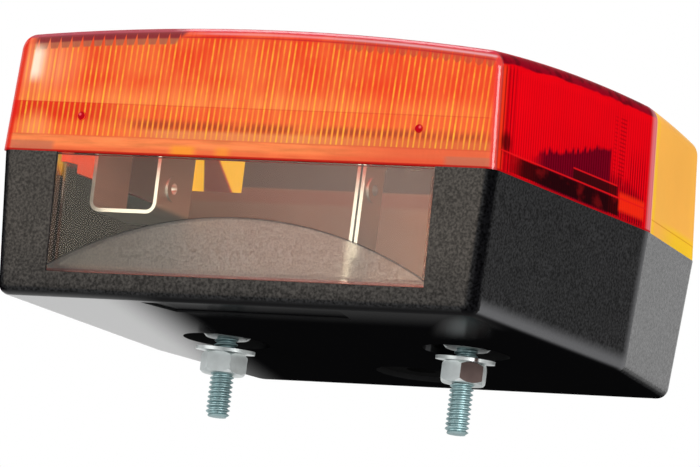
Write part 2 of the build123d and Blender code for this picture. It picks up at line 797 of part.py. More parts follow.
def socket_sleeve(mouth):
    """Bayonet sleeve with a seating flange, a lip at the back and two hooked slots."""
    bore, outside = sleeve_bore / 2, sleeve_diameter / 2
    flange_z = -sleeve_seat - sheet
    with BuildPart() as sleeve:
        with BuildSketch(lengthwise(mouth)):
            Polygon(
                (bore, 0),
                (outside, 0),
                (outside, flange_z),
                (sleeve_flange_diameter / 2, flange_z),
                (sleeve_flange_diameter / 2, flange_z - sleeve_flange_thickness),
                (outside, flange_z - sleeve_flange_thickness),
                (outside, -sleeve_length),
                (bore - sleeve_lip_width, -sleeve_length),
                (bore - sleeve_lip_width, sleeve_lip_thickness - sleeve_length),
                (bore, sleeve_lip_thickness - sleeve_length),
                align=None,
            )
        revolve(axis=Axis(mouth.origin, mouth.z_dir))
        slot_z = pin_z + (pin_diameter - pin_slot_width) / 2
        for plane in pin_planes(mouth):
            with BuildSketch(plane):
                with Locations((0, slot_z)):
                    Rectangle(pin_slot_width, pin_slot_width)
                with Locations((pin_turn / 2, slot_z)):
                    Rectangle(pin_turn, pin_slot_width)
                with Locations((pin_turn, slot_z - pin_slot_width / 2)):
                    Rectangle(pin_slot_width, sleeve_length, align=(Align.CENTER, Align.MIN))
            extrude(amount=sleeve_diameter, mode=Mode.SUBTRACT)
    return sleeve.part


def socket_insulator(mouth):
    """Disc at the back of the sleeve that carries the contacts."""
    with BuildPart() as disc:
        with BuildSketch(mouth.offset(insulator_z - insulator_thickness)):
            Circle(sleeve_bore / 2 - insulator_clearance)
        extrude(amount=insulator_thickness)
    return disc.part


def contact_blades(mouth, places):
    """Bent spring strips between the insulator and the contacts of the cap."""
    low, high = insulator_z + blade_thickness / 2, cap_base_z - contact_height - blade_thickness / 2
    with BuildPart() as blades:
        for place in places:
            with BuildSketch(lengthwise(mouth).offset(place - blade_width / 2)):
                with BuildLine():
                    FilletPolyline(
                        (-blade_reach, low),
                        (-contact_diameter, low),
                        (-contact_diameter / 2, high),
                        (contact_diameter, high),
                        radius=blade_thickness,
                    )
                trace(line_width=blade_thickness)
            extrude(amount=blade_width)
    return blades.part


def bulb_cap(mouth, places):
    """Bayonet cap with its two pins, the contacts on its base and the seat of the glass."""
    with BuildPart() as cap:
        with BuildSketch(mouth.offset(cap_base_z)):
            Circle(cap_diameter / 2)
        extrude(amount=cap_length)
        for plane in pin_planes(mouth):
            with BuildSketch(plane):
                with Locations((0, pin_z)):
                    Circle(pin_diameter / 2)
            extrude(amount=cap_diameter / 2 + pin_height)
        with BuildSketch(mouth.offset(cap_base_z)):
            with Locations(*[(0, place) for place in places]):
                Circle(contact_diameter / 2)
        extrude(amount=-contact_height)
        with BuildSketch(mouth.offset(glass_base_z)):
            Circle(glass_neck_diameter / 2 + glass_clearance)
        extrude(amount=glass_seat, mode=Mode.SUBTRACT)
    return cap.part


def bulb_glass(mouth):
    """Hollow globe on a neck."""
    with BuildPart() as glass:
        with BuildSketch(lengthwise(mouth)) as section:
            with Locations((0, glass_centre_z)):
                Circle(glass_diameter / 2)
            with Locations((0, glass_base_z)):
                Rectangle(glass_neck_diameter, glass_centre_z - glass_base_z, align=(Align.CENTER, Align.MIN))
            fillet(section.vertices().group_by(Axis.Y)[1], glass_shoulder_radius)
            offset(amount=-glass_wall, mode=Mode.SUBTRACT)
            Rectangle(glass_diameter, 2 * glass_length, align=(Align.MIN, Align.CENTER), mode=Mode.INTERSECT)
        revolve(axis=Axis(mouth.origin, mouth.z_dir))
    return glass.part


def bulb_filaments(mouth, places):
    """Filaments, each across the tops of two leads that stand in the neck of the glass."""
    with BuildPart() as filaments:
        for place in places:
            with BuildSketch(mouth.offset(glass_base_z + glass_wall)):
                with Locations((-filament_length / 2, place), (filament_length / 2, place)):
                    Circle(lead_diameter / 2)
            extrude(amount=glass_centre_z - glass_base_z - glass_wall)
            with BuildSketch(pin_planes(mouth)[0]):
                with Locations((place, glass_centre_z)):
                    Circle(filament_diameter / 2)
            extrude(amount=(filament_length + filament_diameter) / 2, both=True)
    return filaments.part


def socket_mouth(y, z):
    """Plane at the mouth of a socket that points to -X."""
    return Plane((sleeve_mouth_x, y, z), x_dir=(0, 0, 1), z_dir=(-1, 0, 0))


tail_mouth = socket_mouth(tail_axis_y, tail_axis_z)
indicator_mouth = socket_mouth(indicator_axis_y, indicator_axis_z)
tail_places = [-tail_contact_offset, tail_contact_offset]

tail_socket = socket_sleeve(tail_mouth)
tail_socket.label = "tail_socket"
tail_socket_insulator = socket_insulator(tail_mouth)
tail_socket_insulator.label = "tail_socket_insulator"
tail_contact_blades = contact_blades(tail_mouth, tail_places)
tail_contact_blades.label = "tail_contact_blades"
tail_bulb_cap = bulb_cap(tail_mouth, tail_places)
tail_bulb_cap.label = "tail_bulb_cap"
tail_bulb_glass = bulb_glass(tail_mouth)
tail_bulb_glass.label = "tail_bulb_glass"
tail_bulb_filaments = bulb_filaments(tail_mouth, [-filament_offset, filament_offset])
tail_bulb_filaments.label = "tail_bulb_filaments"

indicator_socket = socket_sleeve(indicator_mouth)
indicator_socket.label = "indicator_socket"
indicator_socket_insulator = socket_insulator(indicator_mouth)
indicator_socket_insulator.label = "indicator_socket_insulator"
indicator_contact_blade = contact_blades(indicator_mouth, [0])
indicator_contact_blade.label = "indicator_contact_blade"
indicator_bulb_cap = bulb_cap(indicator_mouth, [0])
indicator_bulb_cap.label = "indicator_bulb_cap"
indicator_bulb_glass = bulb_glass(indicator_mouth)
indicator_bulb_glass.label = "indicator_bulb_glass"
indicator_bulb_filament = bulb_filaments(indicator_mouth, [0])
indicator_bulb_filament.label = "indicator_bulb_filament"

# Cable grommet
with BuildPart() as cable_grommet:
    with BuildSketch(level(grommet_recess_depth - grommet_flange)):
        with Locations((0, grommet_y)):
            Circle(grommet_flange_diameter / 2)
    extrude(amount=grommet_flange)
    with BuildSketch(level(grommet_recess_depth)):
        with Locations((0, grommet_y)):
            Circle(grommet_hole / 2 - grommet_clearance)
    extrude(amount=grommet_wall)
    with BuildSketch(level(grommet_seat_z)):
        with Locations((0, grommet_y)):
            Circle(grommet_top_diameter / 2)
    extrude(amount=grommet_flange)
    with BuildSketch(level(grommet_recess_depth - grommet_flange)):
        with Locations((0, grommet_y)):
            Circle(grommet_bore / 2)
    extrude(amount=grommet_wall + 2 * grommet_flange, mode=Mode.SUBTRACT)
cable_grommet.part.label = "cable_grommet"

os.makedirs("parts", exist_ok=True)
export_step(housing.part, "parts/housing.step")
export_step(red_lens.part, "parts/red_lens.step")
export_step(amber_lens.part, "parts/amber_lens.step")
export_step(lens_gasket.part, "parts/lens_gasket.step")
export_step(lens_screws.part, "parts/lens_screws.step")
export_step(number_plate_window.part, "parts/number_plate_window.step")
export_step(mounting_bolts.part, "parts/mounting_bolts.step")
export_step(clamp_nuts.part, "parts/clamp_nuts.step")
export_step(mounting_nuts.part, "parts/mounting_nuts.step")
export_step(mounting_washers.part, "parts/mounting_washers.step")
export_step(bulb_bracket.part, "parts/bulb_bracket.step")
export_step(socket_plate.part, "parts/socket_plate.step")
export_step(bracket_eyelets.part, "parts/bracket_eyelets.step")
export_step(indicator_bracket.part, "parts/indicator_bracket.step")
export_step(bracket_screws.part, "parts/bracket_screws.step")
export_step(chamber_divider.part, "parts/chamber_divider.step")
export_step(tail_socket, "parts/tail_socket.step")
export_step(tail_socket_insulator, "parts/tail_socket_insulator.step")
export_step(tail_contact_blades, "parts/tail_contact_blades.step")
export_step(tail_bulb_cap, "parts/tail_bulb_cap.step")
export_step(tail_bulb_glass, "parts/tail_bulb_glass.step")
export_step(tail_bulb_filaments, "parts/tail_bulb_filaments.step")
export_step(indicator_socket, "parts/indicator_socket.step")
export_step(indicator_socket_insulator, "parts/indicator_socket_insulator.step")
export_step(indicator_contact_blade, "parts/indicator_contact_blade.step")
export_step(indicator_bulb_cap, "parts/indicator_bulb_cap.step")
export_step(indicator_bulb_glass, "parts/indicator_bulb_glass.step")
export_step(indicator_bulb_filament, "parts/indicator_bulb_filament.step")
export_step(cable_grommet.part, "parts/cable_grommet.step")
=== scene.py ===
"""Dresses the packed tail light cluster: materials, threaded studs and stage.

The file is laid out as a Blender add-on and run as a script. Lengths in settings are in metres,
and materials work in millimetres on Object coordinates.
"""
import math
from types import SimpleNamespace

import bpy
from mathutils import Matrix, Vector


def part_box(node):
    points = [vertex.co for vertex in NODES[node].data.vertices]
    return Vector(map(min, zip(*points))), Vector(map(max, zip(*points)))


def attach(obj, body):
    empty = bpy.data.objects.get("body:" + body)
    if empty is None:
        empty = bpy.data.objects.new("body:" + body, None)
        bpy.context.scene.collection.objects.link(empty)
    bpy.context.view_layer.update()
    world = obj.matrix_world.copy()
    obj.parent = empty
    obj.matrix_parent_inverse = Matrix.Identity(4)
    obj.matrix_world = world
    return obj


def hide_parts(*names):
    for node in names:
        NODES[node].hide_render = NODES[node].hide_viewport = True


bl_info = {
    "name": "Tail Light Cluster",
    "version": (1, 0, 0),
    "blender": (4, 5, 0),
    "location": "View3D > Sidebar > Tail Light",
    "description": "Materials, threaded studs and studio stage for a trailer tail light",
    "category": "Object",
}

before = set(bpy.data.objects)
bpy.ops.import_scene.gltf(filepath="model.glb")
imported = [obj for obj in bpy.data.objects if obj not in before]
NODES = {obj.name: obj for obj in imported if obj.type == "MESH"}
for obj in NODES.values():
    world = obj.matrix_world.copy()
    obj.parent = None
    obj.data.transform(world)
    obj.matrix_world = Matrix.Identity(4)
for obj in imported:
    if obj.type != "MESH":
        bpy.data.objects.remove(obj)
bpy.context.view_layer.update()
MM = 1000.0

# Corners of the packed solids that the materials and pieces are set out from, in metres
LENS_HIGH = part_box("red_lens")[1]
AMBER_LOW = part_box("amber_lens")[0]
HOUSING_LOW, HOUSING_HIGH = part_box("housing")
WINDOW_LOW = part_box("number_plate_window")[0]
BOLTS_LOW, BOLTS_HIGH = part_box("mounting_bolts")

# Places for the materials, in millimetres
RIM = HOUSING_HIGH.z * MM
FRONT = HOUSING_LOW.y * MM
SPLIT = AMBER_LOW.y * MM
LENS_TOP = LENS_HIGH.z * MM
WINDOW_LEFT, WINDOW_FRONT, WINDOW_BOTTOM = (value * MM for value in WINDOW_LOW)
RED_MIDDLE = (0.0, -20.0, RIM + 7.0)
AMBER_MIDDLE = (0.0, 45.0, RIM + 7.0)
SEAM_RISE = 13.3  # step across the lens front, above the rim
CROWN_FALL = -1 / (2 * 720.0)  # the crown is an arc of this radius: fall for each square millimetre

# Thread of the studs
THREAD_FLANK = math.radians(30)
THREAD_STEPS = 28
SMOOTH_ANGLE = math.radians(35)

# Camera directions, and lamps as name, place, size and power
CAMERA_RIGHT = Vector((0.8696, 0.4779, 0.1241))
CAMERA_FORWARD = Vector((-0.4923, 0.8583, 0.1448))
LAMPS = (
    ("Front softbox", (-1.08, -1.89, 0.30), 1.8, 17.0),
    ("Right softbox", (1.37, -0.79, 0.23), 0.7, 15.0),
    ("Overhead softbox", (-0.78, 0.23, 1.37), 0.8, 13.0),
    ("Low softbox", (-0.456, 0.430, -0.09), 0.3, 0.22),
)


# Settings


def tint(name, description, *color):
    """Setting that holds a colour."""
    return bpy.props.FloatVectorProperty(
        name=name, description=description, subtype="COLOR", size=4, min=0, max=1, default=(*color, 1))


def length(name, description, default, **limits):
    """Setting that holds a length in metres."""
    return bpy.props.FloatProperty(name=name, description=description, unit="LENGTH", default=default, **limits)


class LensSettings(bpy.types.PropertyGroup):
    """Colours and ribs of the red and amber lens"""

    # Front colours are painted light shining through the ribbed front; rib yellow is the painted line of light
    # along each rib
    front_red: tint("Front red", "Red between the bright lines of the front", 0.82, 0.056, 0.021)
    front_orange: tint("Front orange", "Orange where light shines through the front", 0.93, 0.25, 0.075)
    rib_yellow: tint("Rib yellow", "Bright line along each rib", 1.0, 0.53, 0.05)
    strip_salmon: tint("Plain strip", "Plain strip of the front above the joint", 0.92, 0.255, 0.085)
    side_red: tint("Side red", "Deep red of the sides", 0.80, 0.001, 0.006)
    crown_red: tint("Crown red", "Red of the domed top", 0.62, 0.004, 0.008)
    shade_red: tint("Shaded red", "Red over the dark parts inside", 0.035, 0.0, 0.005)
    # Painted shade and reflection on the rounded top edge of the front, partly the thicker plastic there
    top_edge_shade: tint("Smoky edge", "Thick plastic along the top of the front", 0.17, 0.027, 0.042)
    amber: tint("Amber", "Amber of the rear lens", 1.0, 0.51, 0.09)
    amber_edge: tint("Amber edge", "Deeper amber along the edges", 1.0, 0.64, 0.018)
    rib_pitch: length("Rib pitch", "Distance between the ribs behind the front", 0.00164, min=0.0005)
    side_rib_pitch: length("Side rib pitch", "Distance between the fine ribs of the sides", 0.0013, min=0.0005)
    crown_pitch: length("Crown pitch", "Size of the prisms under the domed top", 0.004, min=0.0005)


class CaseSettings(bpy.types.PropertyGroup):
    """Housing, rubber and window"""

    plastic: tint("Black plastic", "Colour of the housing", 0.019, 0.019, 0.0195)
    # Painted light: the front wall is lighter where the light falls on it
    lit_front_wall: tint("Front wall", "Greyer, warmer tone of the front wall", 0.062, 0.055, 0.048)
    # Painted shade: the underside is darker than the walls
    shaded_underside: tint("Floor black", "Smooth underside of the housing", 0.003, 0.003, 0.0033)
    rubber: tint("Rubber", "Gasket and grommet", 0.006, 0.006, 0.006)
    divider: tint("Divider", "Wall between the two chambers", 0.42, 0.325, 0.25)
    window_tint: tint("Window tint", "Haze of the clear window", 0.89, 0.84, 0.73)
    frost_tint: tint("Frost tint", "Milky tone of the frosted field", 0.77, 0.70, 0.53)
    grain_size: length("Grain size", "Size of the moulded grain on the walls", 0.0007, min=0.0001)
    frost_top: length("Frost top", "Height of the frosted field in the middle", 0.0225)
    frost_radius: length("Frost radius", "Radius of the arc over the frosted field", 0.119)


class HardwareSettings(bpy.types.PropertyGroup):
    """Studs, nuts, washers, sheet metal and bulbs"""

    zinc: tint("Zinc", "Bluish zinc plating", 0.82, 0.86, 0.85)
    thread_blue: tint("Thread blue", "Bluish green passivated studs", 0.37, 0.50, 0.51)
    patina: tint("Patina", "Darker tone of some zinc plated faces", 0.50, 0.54, 0.54)
    sheet: tint("Sheet", "Bright rolled sheet of the brackets", 0.72, 0.70, 0.68)
    socket: tint("Socket", "Drawn sheet of the sockets", 0.70, 0.69, 0.66)
    brass: tint("Brass", "Contact blades", 0.72, 0.56, 0.30)
    nickel: tint("Nickel", "Plated bulb caps", 0.70, 0.66, 0.56)
    wire: tint("Wire", "Bulb filaments", 0.35, 0.34, 0.34)
    board: tint("Board", "Insulators in the sockets", 0.24, 0.13, 0.06)
    thread_pitch: length("Thread pitch", "Rise of the stud thread in one turn", 0.00127, min=0.0005)
    thread_depth: length("Thread depth", "Depth of the thread groove", 0.00075, min=0.0001)
    stud_radius: length("Stud radius", "Outer radius of the stud thread", 0.003175, min=0.001)
    head_height: length("Head height", "Height of the hexagon heads inside", 0.0041, min=0.001)
    head_overlap: length("Head overlap", "How far the stud reaches into its head", 0.0005, min=0.0)
    left_stud_end: length("Left stud end", "Height of the left stud's lower end", -0.0206)


class StageSettings(bpy.types.PropertyGroup):
    """Backdrop, floor, light and camera"""

    backdrop: tint("Backdrop", "Colour of the surroundings", 1, 1, 1)
    floor_tone: tint("Floor tone", "Colour of the pale floor", 0.82, 0.82, 0.82)
    floor_z: length("Floor height", "Height of the pale floor", -0.75)
    floor_size: length("Floor size", "Width of the pale floor", 12.0, min=1.0)
    surround: bpy.props.FloatProperty(
        name="Surround light", description="Strength of the even light from all sides", default=0.45, min=0)
    camera_place: bpy.props.FloatVectorProperty(
        name="Camera place", description="Where the camera stands", subtype="TRANSLATION",
        size=3, default=(1.6082, -2.8092, -0.4435))
    focal_length: bpy.props.FloatProperty(
        name="Focal length", description="Camera focal length in millimetres", default=634.4)


def settings(name):
    """The add-on's settings group of that name on the scene."""
    return getattr(bpy.context.scene, name)


# Shader helpers


class NodeKit:
    """Writes one node tree. Values given to its methods are numbers, colours or sockets."""

    def __init__(self, tree):
        self.tree = tree

    def fill(self, socket, value):
        """Links a socket to another, or sets its value."""
        if isinstance(value, bpy.types.NodeSocket):
            self.tree.links.new(value, socket)
        else:
            socket.default_value = value

    def put(self, kind, *inputs, **options):
        """Adds a node, sets its options, and fills its inputs in order, passing over None."""
        made = self.tree.nodes.new(kind)
        for option, value in options.items():
            setattr(made, option, value)
        for place, value in enumerate(inputs):
            if value is not None:
                self.fill(made.inputs[place], value)
        return made

    def feed(self, shader, **values):
        """Fills the shader's sockets, named with underscores."""
        for name, value in values.items():
            self.fill(shader.inputs[name.replace("_", " ")], value)

    def calc(self, operation, *values):
        """Math node."""
        return self.put("ShaderNodeMath", *values, operation=operation).outputs[0]

    def scaled(self, value, factor, offset):
        """Value times a factor, plus an offset."""
        return self.calc("MULTIPLY_ADD", value, factor, offset)

    def minus(self, value, other):
        """Difference of two values."""
        return self.calc("SUBTRACT", value, other)

    def chain(self, operation, values):
        """Math nodes that take in one value after the other."""
        result = values[0]
        for value in values[1:]:
            result = self.calc(operation, result, value)
        return result

    def both(self, *masks):
        """Product of masks."""
        return self.chain("MULTIPLY", masks)

    def either(self, *masks):
        """Largest of masks."""
        return self.chain("MAXIMUM", masks)

    def total(self, *values):
        """Sum of values."""
        return self.chain("ADD", values)

    def opposite(self, mask):
        """1 where the mask is 0."""
        return self.minus(1.0, mask)

    def span(self, value, low, high):
        """0 at low, 1 at high, smooth between; low may be the larger."""
        node = self.put("ShaderNodeMapRange", value, low, high, 0.0, 1.0, interpolation_type="SMOOTHSTEP")
        return node.outputs[0]

    def between(self, value, low, high, soft):
        """Mask that is 1 between two values."""
        return self.both(self.span(value, low - soft, low + soft), self.span(value, high + soft, high - soft))

    def distance(self, first, second, centre):
        """Distance from a centre in two coordinates."""
        squares = [self.calc("POWER", self.minus(value, middle), 2.0)
                   for value, middle in zip((first, second), centre)]
        return self.calc("SQRT", self.total(*squares))

    def disc(self, first, second, centre, radius, soft):
        """Mask of a round spot in two coordinates."""
        return self.span(self.distance(first, second, centre), radius + soft, radius - soft)

    def level(self, factor, first, second):
        """Mixes two numbers."""
        return self.put("ShaderNodeMix", factor, None, first, second, data_type="FLOAT").outputs[0]

    def blend(self, factor, first, second, kind="MIX"):
        """Mixes two colours."""
        node = self.put("ShaderNodeMix", data_type="RGBA", blend_type=kind)
        for place, value in ((0, factor), (6, first), (7, second)):
            self.fill(node.inputs[place], value)
        return node.outputs[2]

    def paint(self, tone, color, *masks):
        """Lays a colour over a tone where all masks meet."""
        return self.blend(self.both(*masks), tone, color)

    def grey(self, value):
        """Grey of that brightness."""
        return self.put("ShaderNodeCombineXYZ", value, value, value).outputs[0]

    def axes(self):
        """x, y, z of the Object coordinates in millimetres, and the vector itself."""
        place = self.put("ShaderNodeTexCoord").outputs["Object"]
        vector = self.stretch(place, MM, MM, MM)
        return (*self.put("ShaderNodeSeparateXYZ", vector).outputs, vector)

    def facing(self):
        """x, y, z of the surface normal."""
        normal = self.put("ShaderNodeNewGeometry").outputs["Normal"]
        return tuple(self.put("ShaderNodeSeparateXYZ", normal).outputs)

    def ray(self, kind):
        """Mask of one kind of ray."""
        return self.put("ShaderNodeLightPath").outputs[kind]

    def stretch(self, vector, x, y, z):
        """Vector with its parts multiplied."""
        return self.put("ShaderNodeVectorMath", vector, (x, y, z), operation="MULTIPLY").outputs[0]

    def noise(self, vector, scale, detail=2.0):
        """Noise value at a scale per millimetre."""
        node = self.put("ShaderNodeTexNoise", vector)
        self.feed(node, Scale=scale, Detail=detail)
        return node.outputs["Fac"]

    def bump(self, height, strength, distance):
        """Normal from a height in millimetres."""
        node = self.put("ShaderNodeBump")
        self.feed(node, Strength=strength, Distance=distance / MM, Height=height)
        return node.outputs[0]

    def use(self, group, *inputs):
        """Places a node group, fills its inputs in order and gives back its outputs."""
        return self.put("ShaderNodeGroup", *inputs, node_tree=group).outputs


def new_material(name):
    """Empty node material with a Principled shader wired to its output."""
    material = bpy.data.materials.new(name)
    material.use_nodes = True
    material.node_tree.nodes.clear()
    n = NodeKit(material.node_tree)
    shader = n.put("ShaderNodeBsdfPrincipled")
    n.put("ShaderNodeOutputMaterial", shader.outputs[0])
    return material, n, shader


def open_up(n, shader, where, color=(1, 1, 1, 1)):
    """Lets rays go straight on through the surface where the mask is 1."""
    clear = n.put("ShaderNodeBsdfTransparent", color)
    mixed = n.put("ShaderNodeMixShader", where, shader.outputs[0], clear.outputs[0])
    n.fill(n.tree.nodes["Material Output"].inputs[0], mixed.outputs[0])


def dress(material, *nodes):
    """Gives CAD nodes one material."""
    for name in nodes:
        slots = NODES[name].data.materials
        slots.clear()
        slots.append(material)


def node_group(name, inputs, outputs, write):
    """Node group of that name, made once; write turns its input sockets into its output sockets."""
    if name in bpy.data.node_groups:
        return bpy.data.node_groups[name]
    group = bpy.data.node_groups.new(name, "ShaderNodeTree")
    for in_out, sockets in (("INPUT", inputs), ("OUTPUT", outputs)):
        for label, kind in sockets.items():
            group.interface.new_socket(name=label, in_out=in_out, socket_type="NodeSocket" + kind)
    n = NodeKit(group)
    start = n.put("NodeGroupInput")
    n.put("NodeGroupOutput", *write(n, *[start.outputs[label] for label in inputs]))
    return group


def rib_lines(n, position, pitch, width):
    """Thin parallel lines: position and pitch in millimetres, width as a share of the pitch."""
    def write(g, position, pitch, width):
        count = g.calc("DIVIDE", position, pitch)
        part = g.minus(g.calc("FRACT", count), 0.5)
        away = g.calc("MULTIPLY", g.calc("ABSOLUTE", part), 2.0)
        chance = g.put("ShaderNodeTexWhiteNoise", None, g.calc("FLOOR", count), noise_dimensions="1D")
        return g.span(away, width, 0.0), g.opposite(away), chance.outputs[0]

    inputs = {"Position": "Float", "Pitch": "Float", "Width": "Float"}
    outputs = {"Line": "Float", "Wave": "Float", "Chance": "Float"}
    return n.use(node_group("Rib Lines", inputs, outputs, write), position, pitch, width)


def mottle(n, color, vector, scale, amount):
    """Uneven tone: a colour lightened and darkened by noise, and the noise itself."""
    def write(g, color, vector, scale, amount):
        coarse = g.noise(vector, scale, 5.0)
        tone = g.minus(coarse, 0.5)
        change = g.scaled(tone, g.calc("MULTIPLY", amount, 2.0), 1.0)
        return g.blend(1.0, color, g.grey(change), "MULTIPLY"), coarse

    inputs = {"Color": "Color", "Vector": "Vector", "Scale": "Float", "Amount": "Float"}
    outputs = {"Color": "Color", "Tone": "Float"}
    return n.use(node_group("Mottle", inputs, outputs, write), color, vector, scale, amount)


def grain(n, vector, size):
    """Fine moulded or rolled grain as a height, and its high spots."""
    def write(g, vector, size):
        fine = g.noise(vector, g.calc("DIVIDE", 1.0, size))
        return fine, g.put("ShaderNodeMapRange", fine, 0.35, 0.68, 0.0, 1.0).outputs[0]

    outputs = {"Height": "Float", "Spots": "Float"}
    return n.use(node_group("Grain", {"Vector": "Vector", "Size": "Float"}, outputs, write), vector, size)


# Housing


def black_plastic():
    """Housing: grained walls with painted light and shade, slanted rear walls that shine, smooth floor painted
    dark as shade.
    """
    case = settings("tail_light_case")
    material, n, shader = new_material("Black Grained Plastic")
    x, y, z, place = n.axes()
    nx, ny, nz = n.facing()
    specks = grain(n, place, case.grain_size * MM)
    sideways = n.calc("MULTIPLY", nx, x)
    outside = n.span(sideways, 0.0, 5.0)
    outward = n.total(sideways, n.calc("MULTIPLY", ny, y))
    wall = n.both(n.span(n.calc("ABSOLUTE", nz), 0.9, 0.6), n.span(z, 0.6, 1.4), n.span(outward, 0.0, 5.0))

    # Front wall painted greyer and lighter as painted light, painted shade in the front corners, grain on every
    # outer wall
    front = n.both(n.span(ny, -0.90, -0.985), n.span(y, FRONT + 3.0, FRONT + 1.0))
    tone = n.blend(front, case.plastic, case.lit_front_wall)
    # Painted shade in the front corners
    corner = n.both(n.span(ny, -0.99, -0.75), n.span(ny, -0.08, -0.45), outside)
    tone = n.paint(tone, (0.002, 0.002, 0.0025, 1), corner, 0.9)
    tone = mottle(n, tone, place, 0.08, 0.25)["Color"]
    shade = n.scaled(specks["Spots"], n.level(front, 1.3, 0.9), n.level(front, 0.35, 0.55))
    tone = n.blend(wall, tone, n.grey(shade), "MULTIPLY")

    # Painted highlights: paler lower edge of the sides, and paler turn into the rear facets
    side = n.both(n.span(n.calc("ABSOLUTE", ny), 0.15, 0.08), outside)
    rounded = n.both(side, n.span(z, 5.8, 1.6), n.span(nz, -0.9, -0.5))
    tone = n.paint(tone, (0.128, 0.128, 0.133, 1), rounded, 0.9)
    lit_turn = n.both(side, n.span(y, SPLIT - 5.0, SPLIT))
    tone = n.paint(tone, (0.17, 0.17, 0.175, 1), lit_turn, 0.85)
    # Painted shade: the underside is darker than the walls
    below = n.span(nz, -0.6, -0.9)
    tone = n.blend(below, tone, case.shaded_underside)

    # Glossier zones: rear facets, left and front of the underside, streak before the right stud
    uneven = n.scaled(specks["Spots"], 0.3, 0.8)
    slant = n.both(n.between(ny, 0.12, 0.5, 0.05), outside, wall, uneven)
    left = n.span(n.scaled(y, 0.29, x), -34.0, -60.0)
    along = n.scaled(y, 0.57, x)
    rubbed = n.both(n.between(along, 29.0, 39.0, 5.0), n.between(y, -58.0, -30.0, 12.0), 0.36)
    front_end = n.both(n.span(y, -36.0, -62.0), 0.12)
    shine = n.both(below, n.either(left, rubbed, front_end))
    coat = n.either(n.both(wall, n.level(corner, 0.08, 0.0)), slant, shine)
    relief = n.bump(n.both(specks["Height"], wall), 0.5, 0.2)
    n.feed(shader, Base_Color=tone, Roughness=0.6, Normal=relief, Specular_IOR_Level=0.0,
           Coat_Weight=coat, Coat_Roughness=0.2, Coat_IOR=1.5)
    return material


# Lens front: heights are measured up from the housing's rim


def lens_front(n, lens, x, z, place):
    """Places on the lens front, and its ribs."""
    up = n.minus(z, RIM)
    top = n.scaled(n.calc("MULTIPLY", x, x), CROWN_FALL, LENS_TOP - 2.95)
    across = n.calc("ABSOLUTE", x)
    drafted = n.scaled(up, 0.065, across)
    lean = n.scaled(up, -0.034, n.total(x, 0.47))
    ribs = rib_lines(n, lean, lens.rib_pitch * MM, 0.55)
    return SimpleNamespace(
        x=x, up=up, place=place, across=across, lean=lean, ribs=ribs,
        under_top=n.minus(top, z),
        seam=n.minus(up, SEAM_RISE),
        reach=n.minus(drafted, n.both(n.span(x, 0.0, 10.0), 1.2)),
        right=n.span(x, 10.0, 50.0),
        gaps=n.span(ribs["Wave"], 0.8, 0.4))


def front_backing(n, lens, at):
    """Painted light and shade behind the ribs, with a step at the seam."""
    cloud = n.noise(n.stretch(at.place, 1.0, 0.0, 1.3), 0.045, 3.0)
    patches = n.span(cloud, 0.32, 0.66)
    tone = n.paint(lens.front_red, lens.front_orange, patches, n.level(at.right, 0.45, 0.22))
    # Painted glow near the left end
    haze = n.disc(at.x, n.calc("MULTIPLY", at.up, 1.3), (-65.0, 29.1), 8.5, 7.5)
    tone = n.paint(tone, (0.95, 0.33, 0.15, 1), haze, 0.9)
    # Painted light just above the seam
    glow = n.both(n.span(at.seam, 7.0, 0.6), n.span(at.seam, -0.15, 0.15), n.level(patches, 0.65, 1.0),
                  n.level(at.right, 1.0, 0.55), n.level(n.between(at.x, -5.0, -0.5, 1.5), 1.0, 0.5))
    tone = n.paint(tone, lens.front_orange, glow)
    low = n.span(at.seam, 0.15, -0.15)
    tone = n.paint(tone, lens.front_orange, low, 0.28)
    # Painted shade: deep red zone low at the left
    deep = n.both(low, n.span(at.up, 6.5, 10.0), n.span(at.x, -30.0, -52.0))
    tone = n.paint(tone, (0.70, 0.022, 0.012, 1), deep, 0.85)
    dim = n.both(at.gaps, n.span(at.ribs["Chance"], 0.3, 1.0))
    return n.paint(tone, (0.68, 0.03, 0.014, 1), dim, 0.3)


def low_band(n, at, tone):
    """Painted shade in a dark band low down behind the ribs, painted light below it and in a spot at the left
    end.
    """
    tan = n.both(n.span(at.up, 7.6, 6.2), n.span(at.x, -40.0, -24.0))
    tan_tone = n.blend(at.right, (0.76, 0.27, 0.105, 1), (0.66, 0.15, 0.055, 1))
    tone = n.paint(tone, tan_tone, tan, 0.75)
    # Painted light: bright spot at the left end
    tone = n.paint(tone, (0.95, 0.30, 0.11, 1), n.disc(at.x, at.up, (-64.5, 5.6), 4.0, 3.0), 0.8)
    patchy = n.span(n.noise(n.stretch(at.place, 0.09, 0.0, 0.2), 1.0), 0.25, 0.55)
    # Painted shade: dark band low down
    streak = n.both(n.between(at.up, 6.9, 9.2, 1.0), n.span(at.x, -46.0, -30.0), n.level(patchy, 0.25, 1.0))
    return n.paint(tone, (0.27, 0.055, 0.026, 1), streak, at.gaps, 0.75)


def light_lines(n, lens, at, tone):
    """Painted lines of light along the ribs, broken along their length, and a dark line at the seam."""
    wander = n.noise(n.stretch(at.place, 0.61, 0.0, 0.13), 1.0, 3.0)
    broken = n.noise(n.stretch(at.place, 0.61, 0.0, 0.55), 1.0)
    bright = n.both(n.span(wander, 0.30, 0.70), n.level(n.span(broken, 0.35, 0.6), 0.6, 1.0), 0.72)
    bright = n.total(bright, n.both(n.span(at.seam, 4.0, -1.0), 0.12), 0.14)
    strength = n.scaled(at.ribs["Chance"], 0.3, 0.8)
    field = n.both(n.span(at.up, 4.4, 4.9), n.span(at.under_top, 2.4, 3.6), n.span(at.reach, 71.4, 70.6))
    line = n.calc("MINIMUM", n.both(at.ribs["Line"], strength, bright, field), 1.0)
    tone = n.paint(tone, lens.rib_yellow, line)
    return n.paint(tone, (0.60, 0.03, 0.02, 1), n.between(at.seam, -0.2, 0.1, 0.12), field, 0.3)


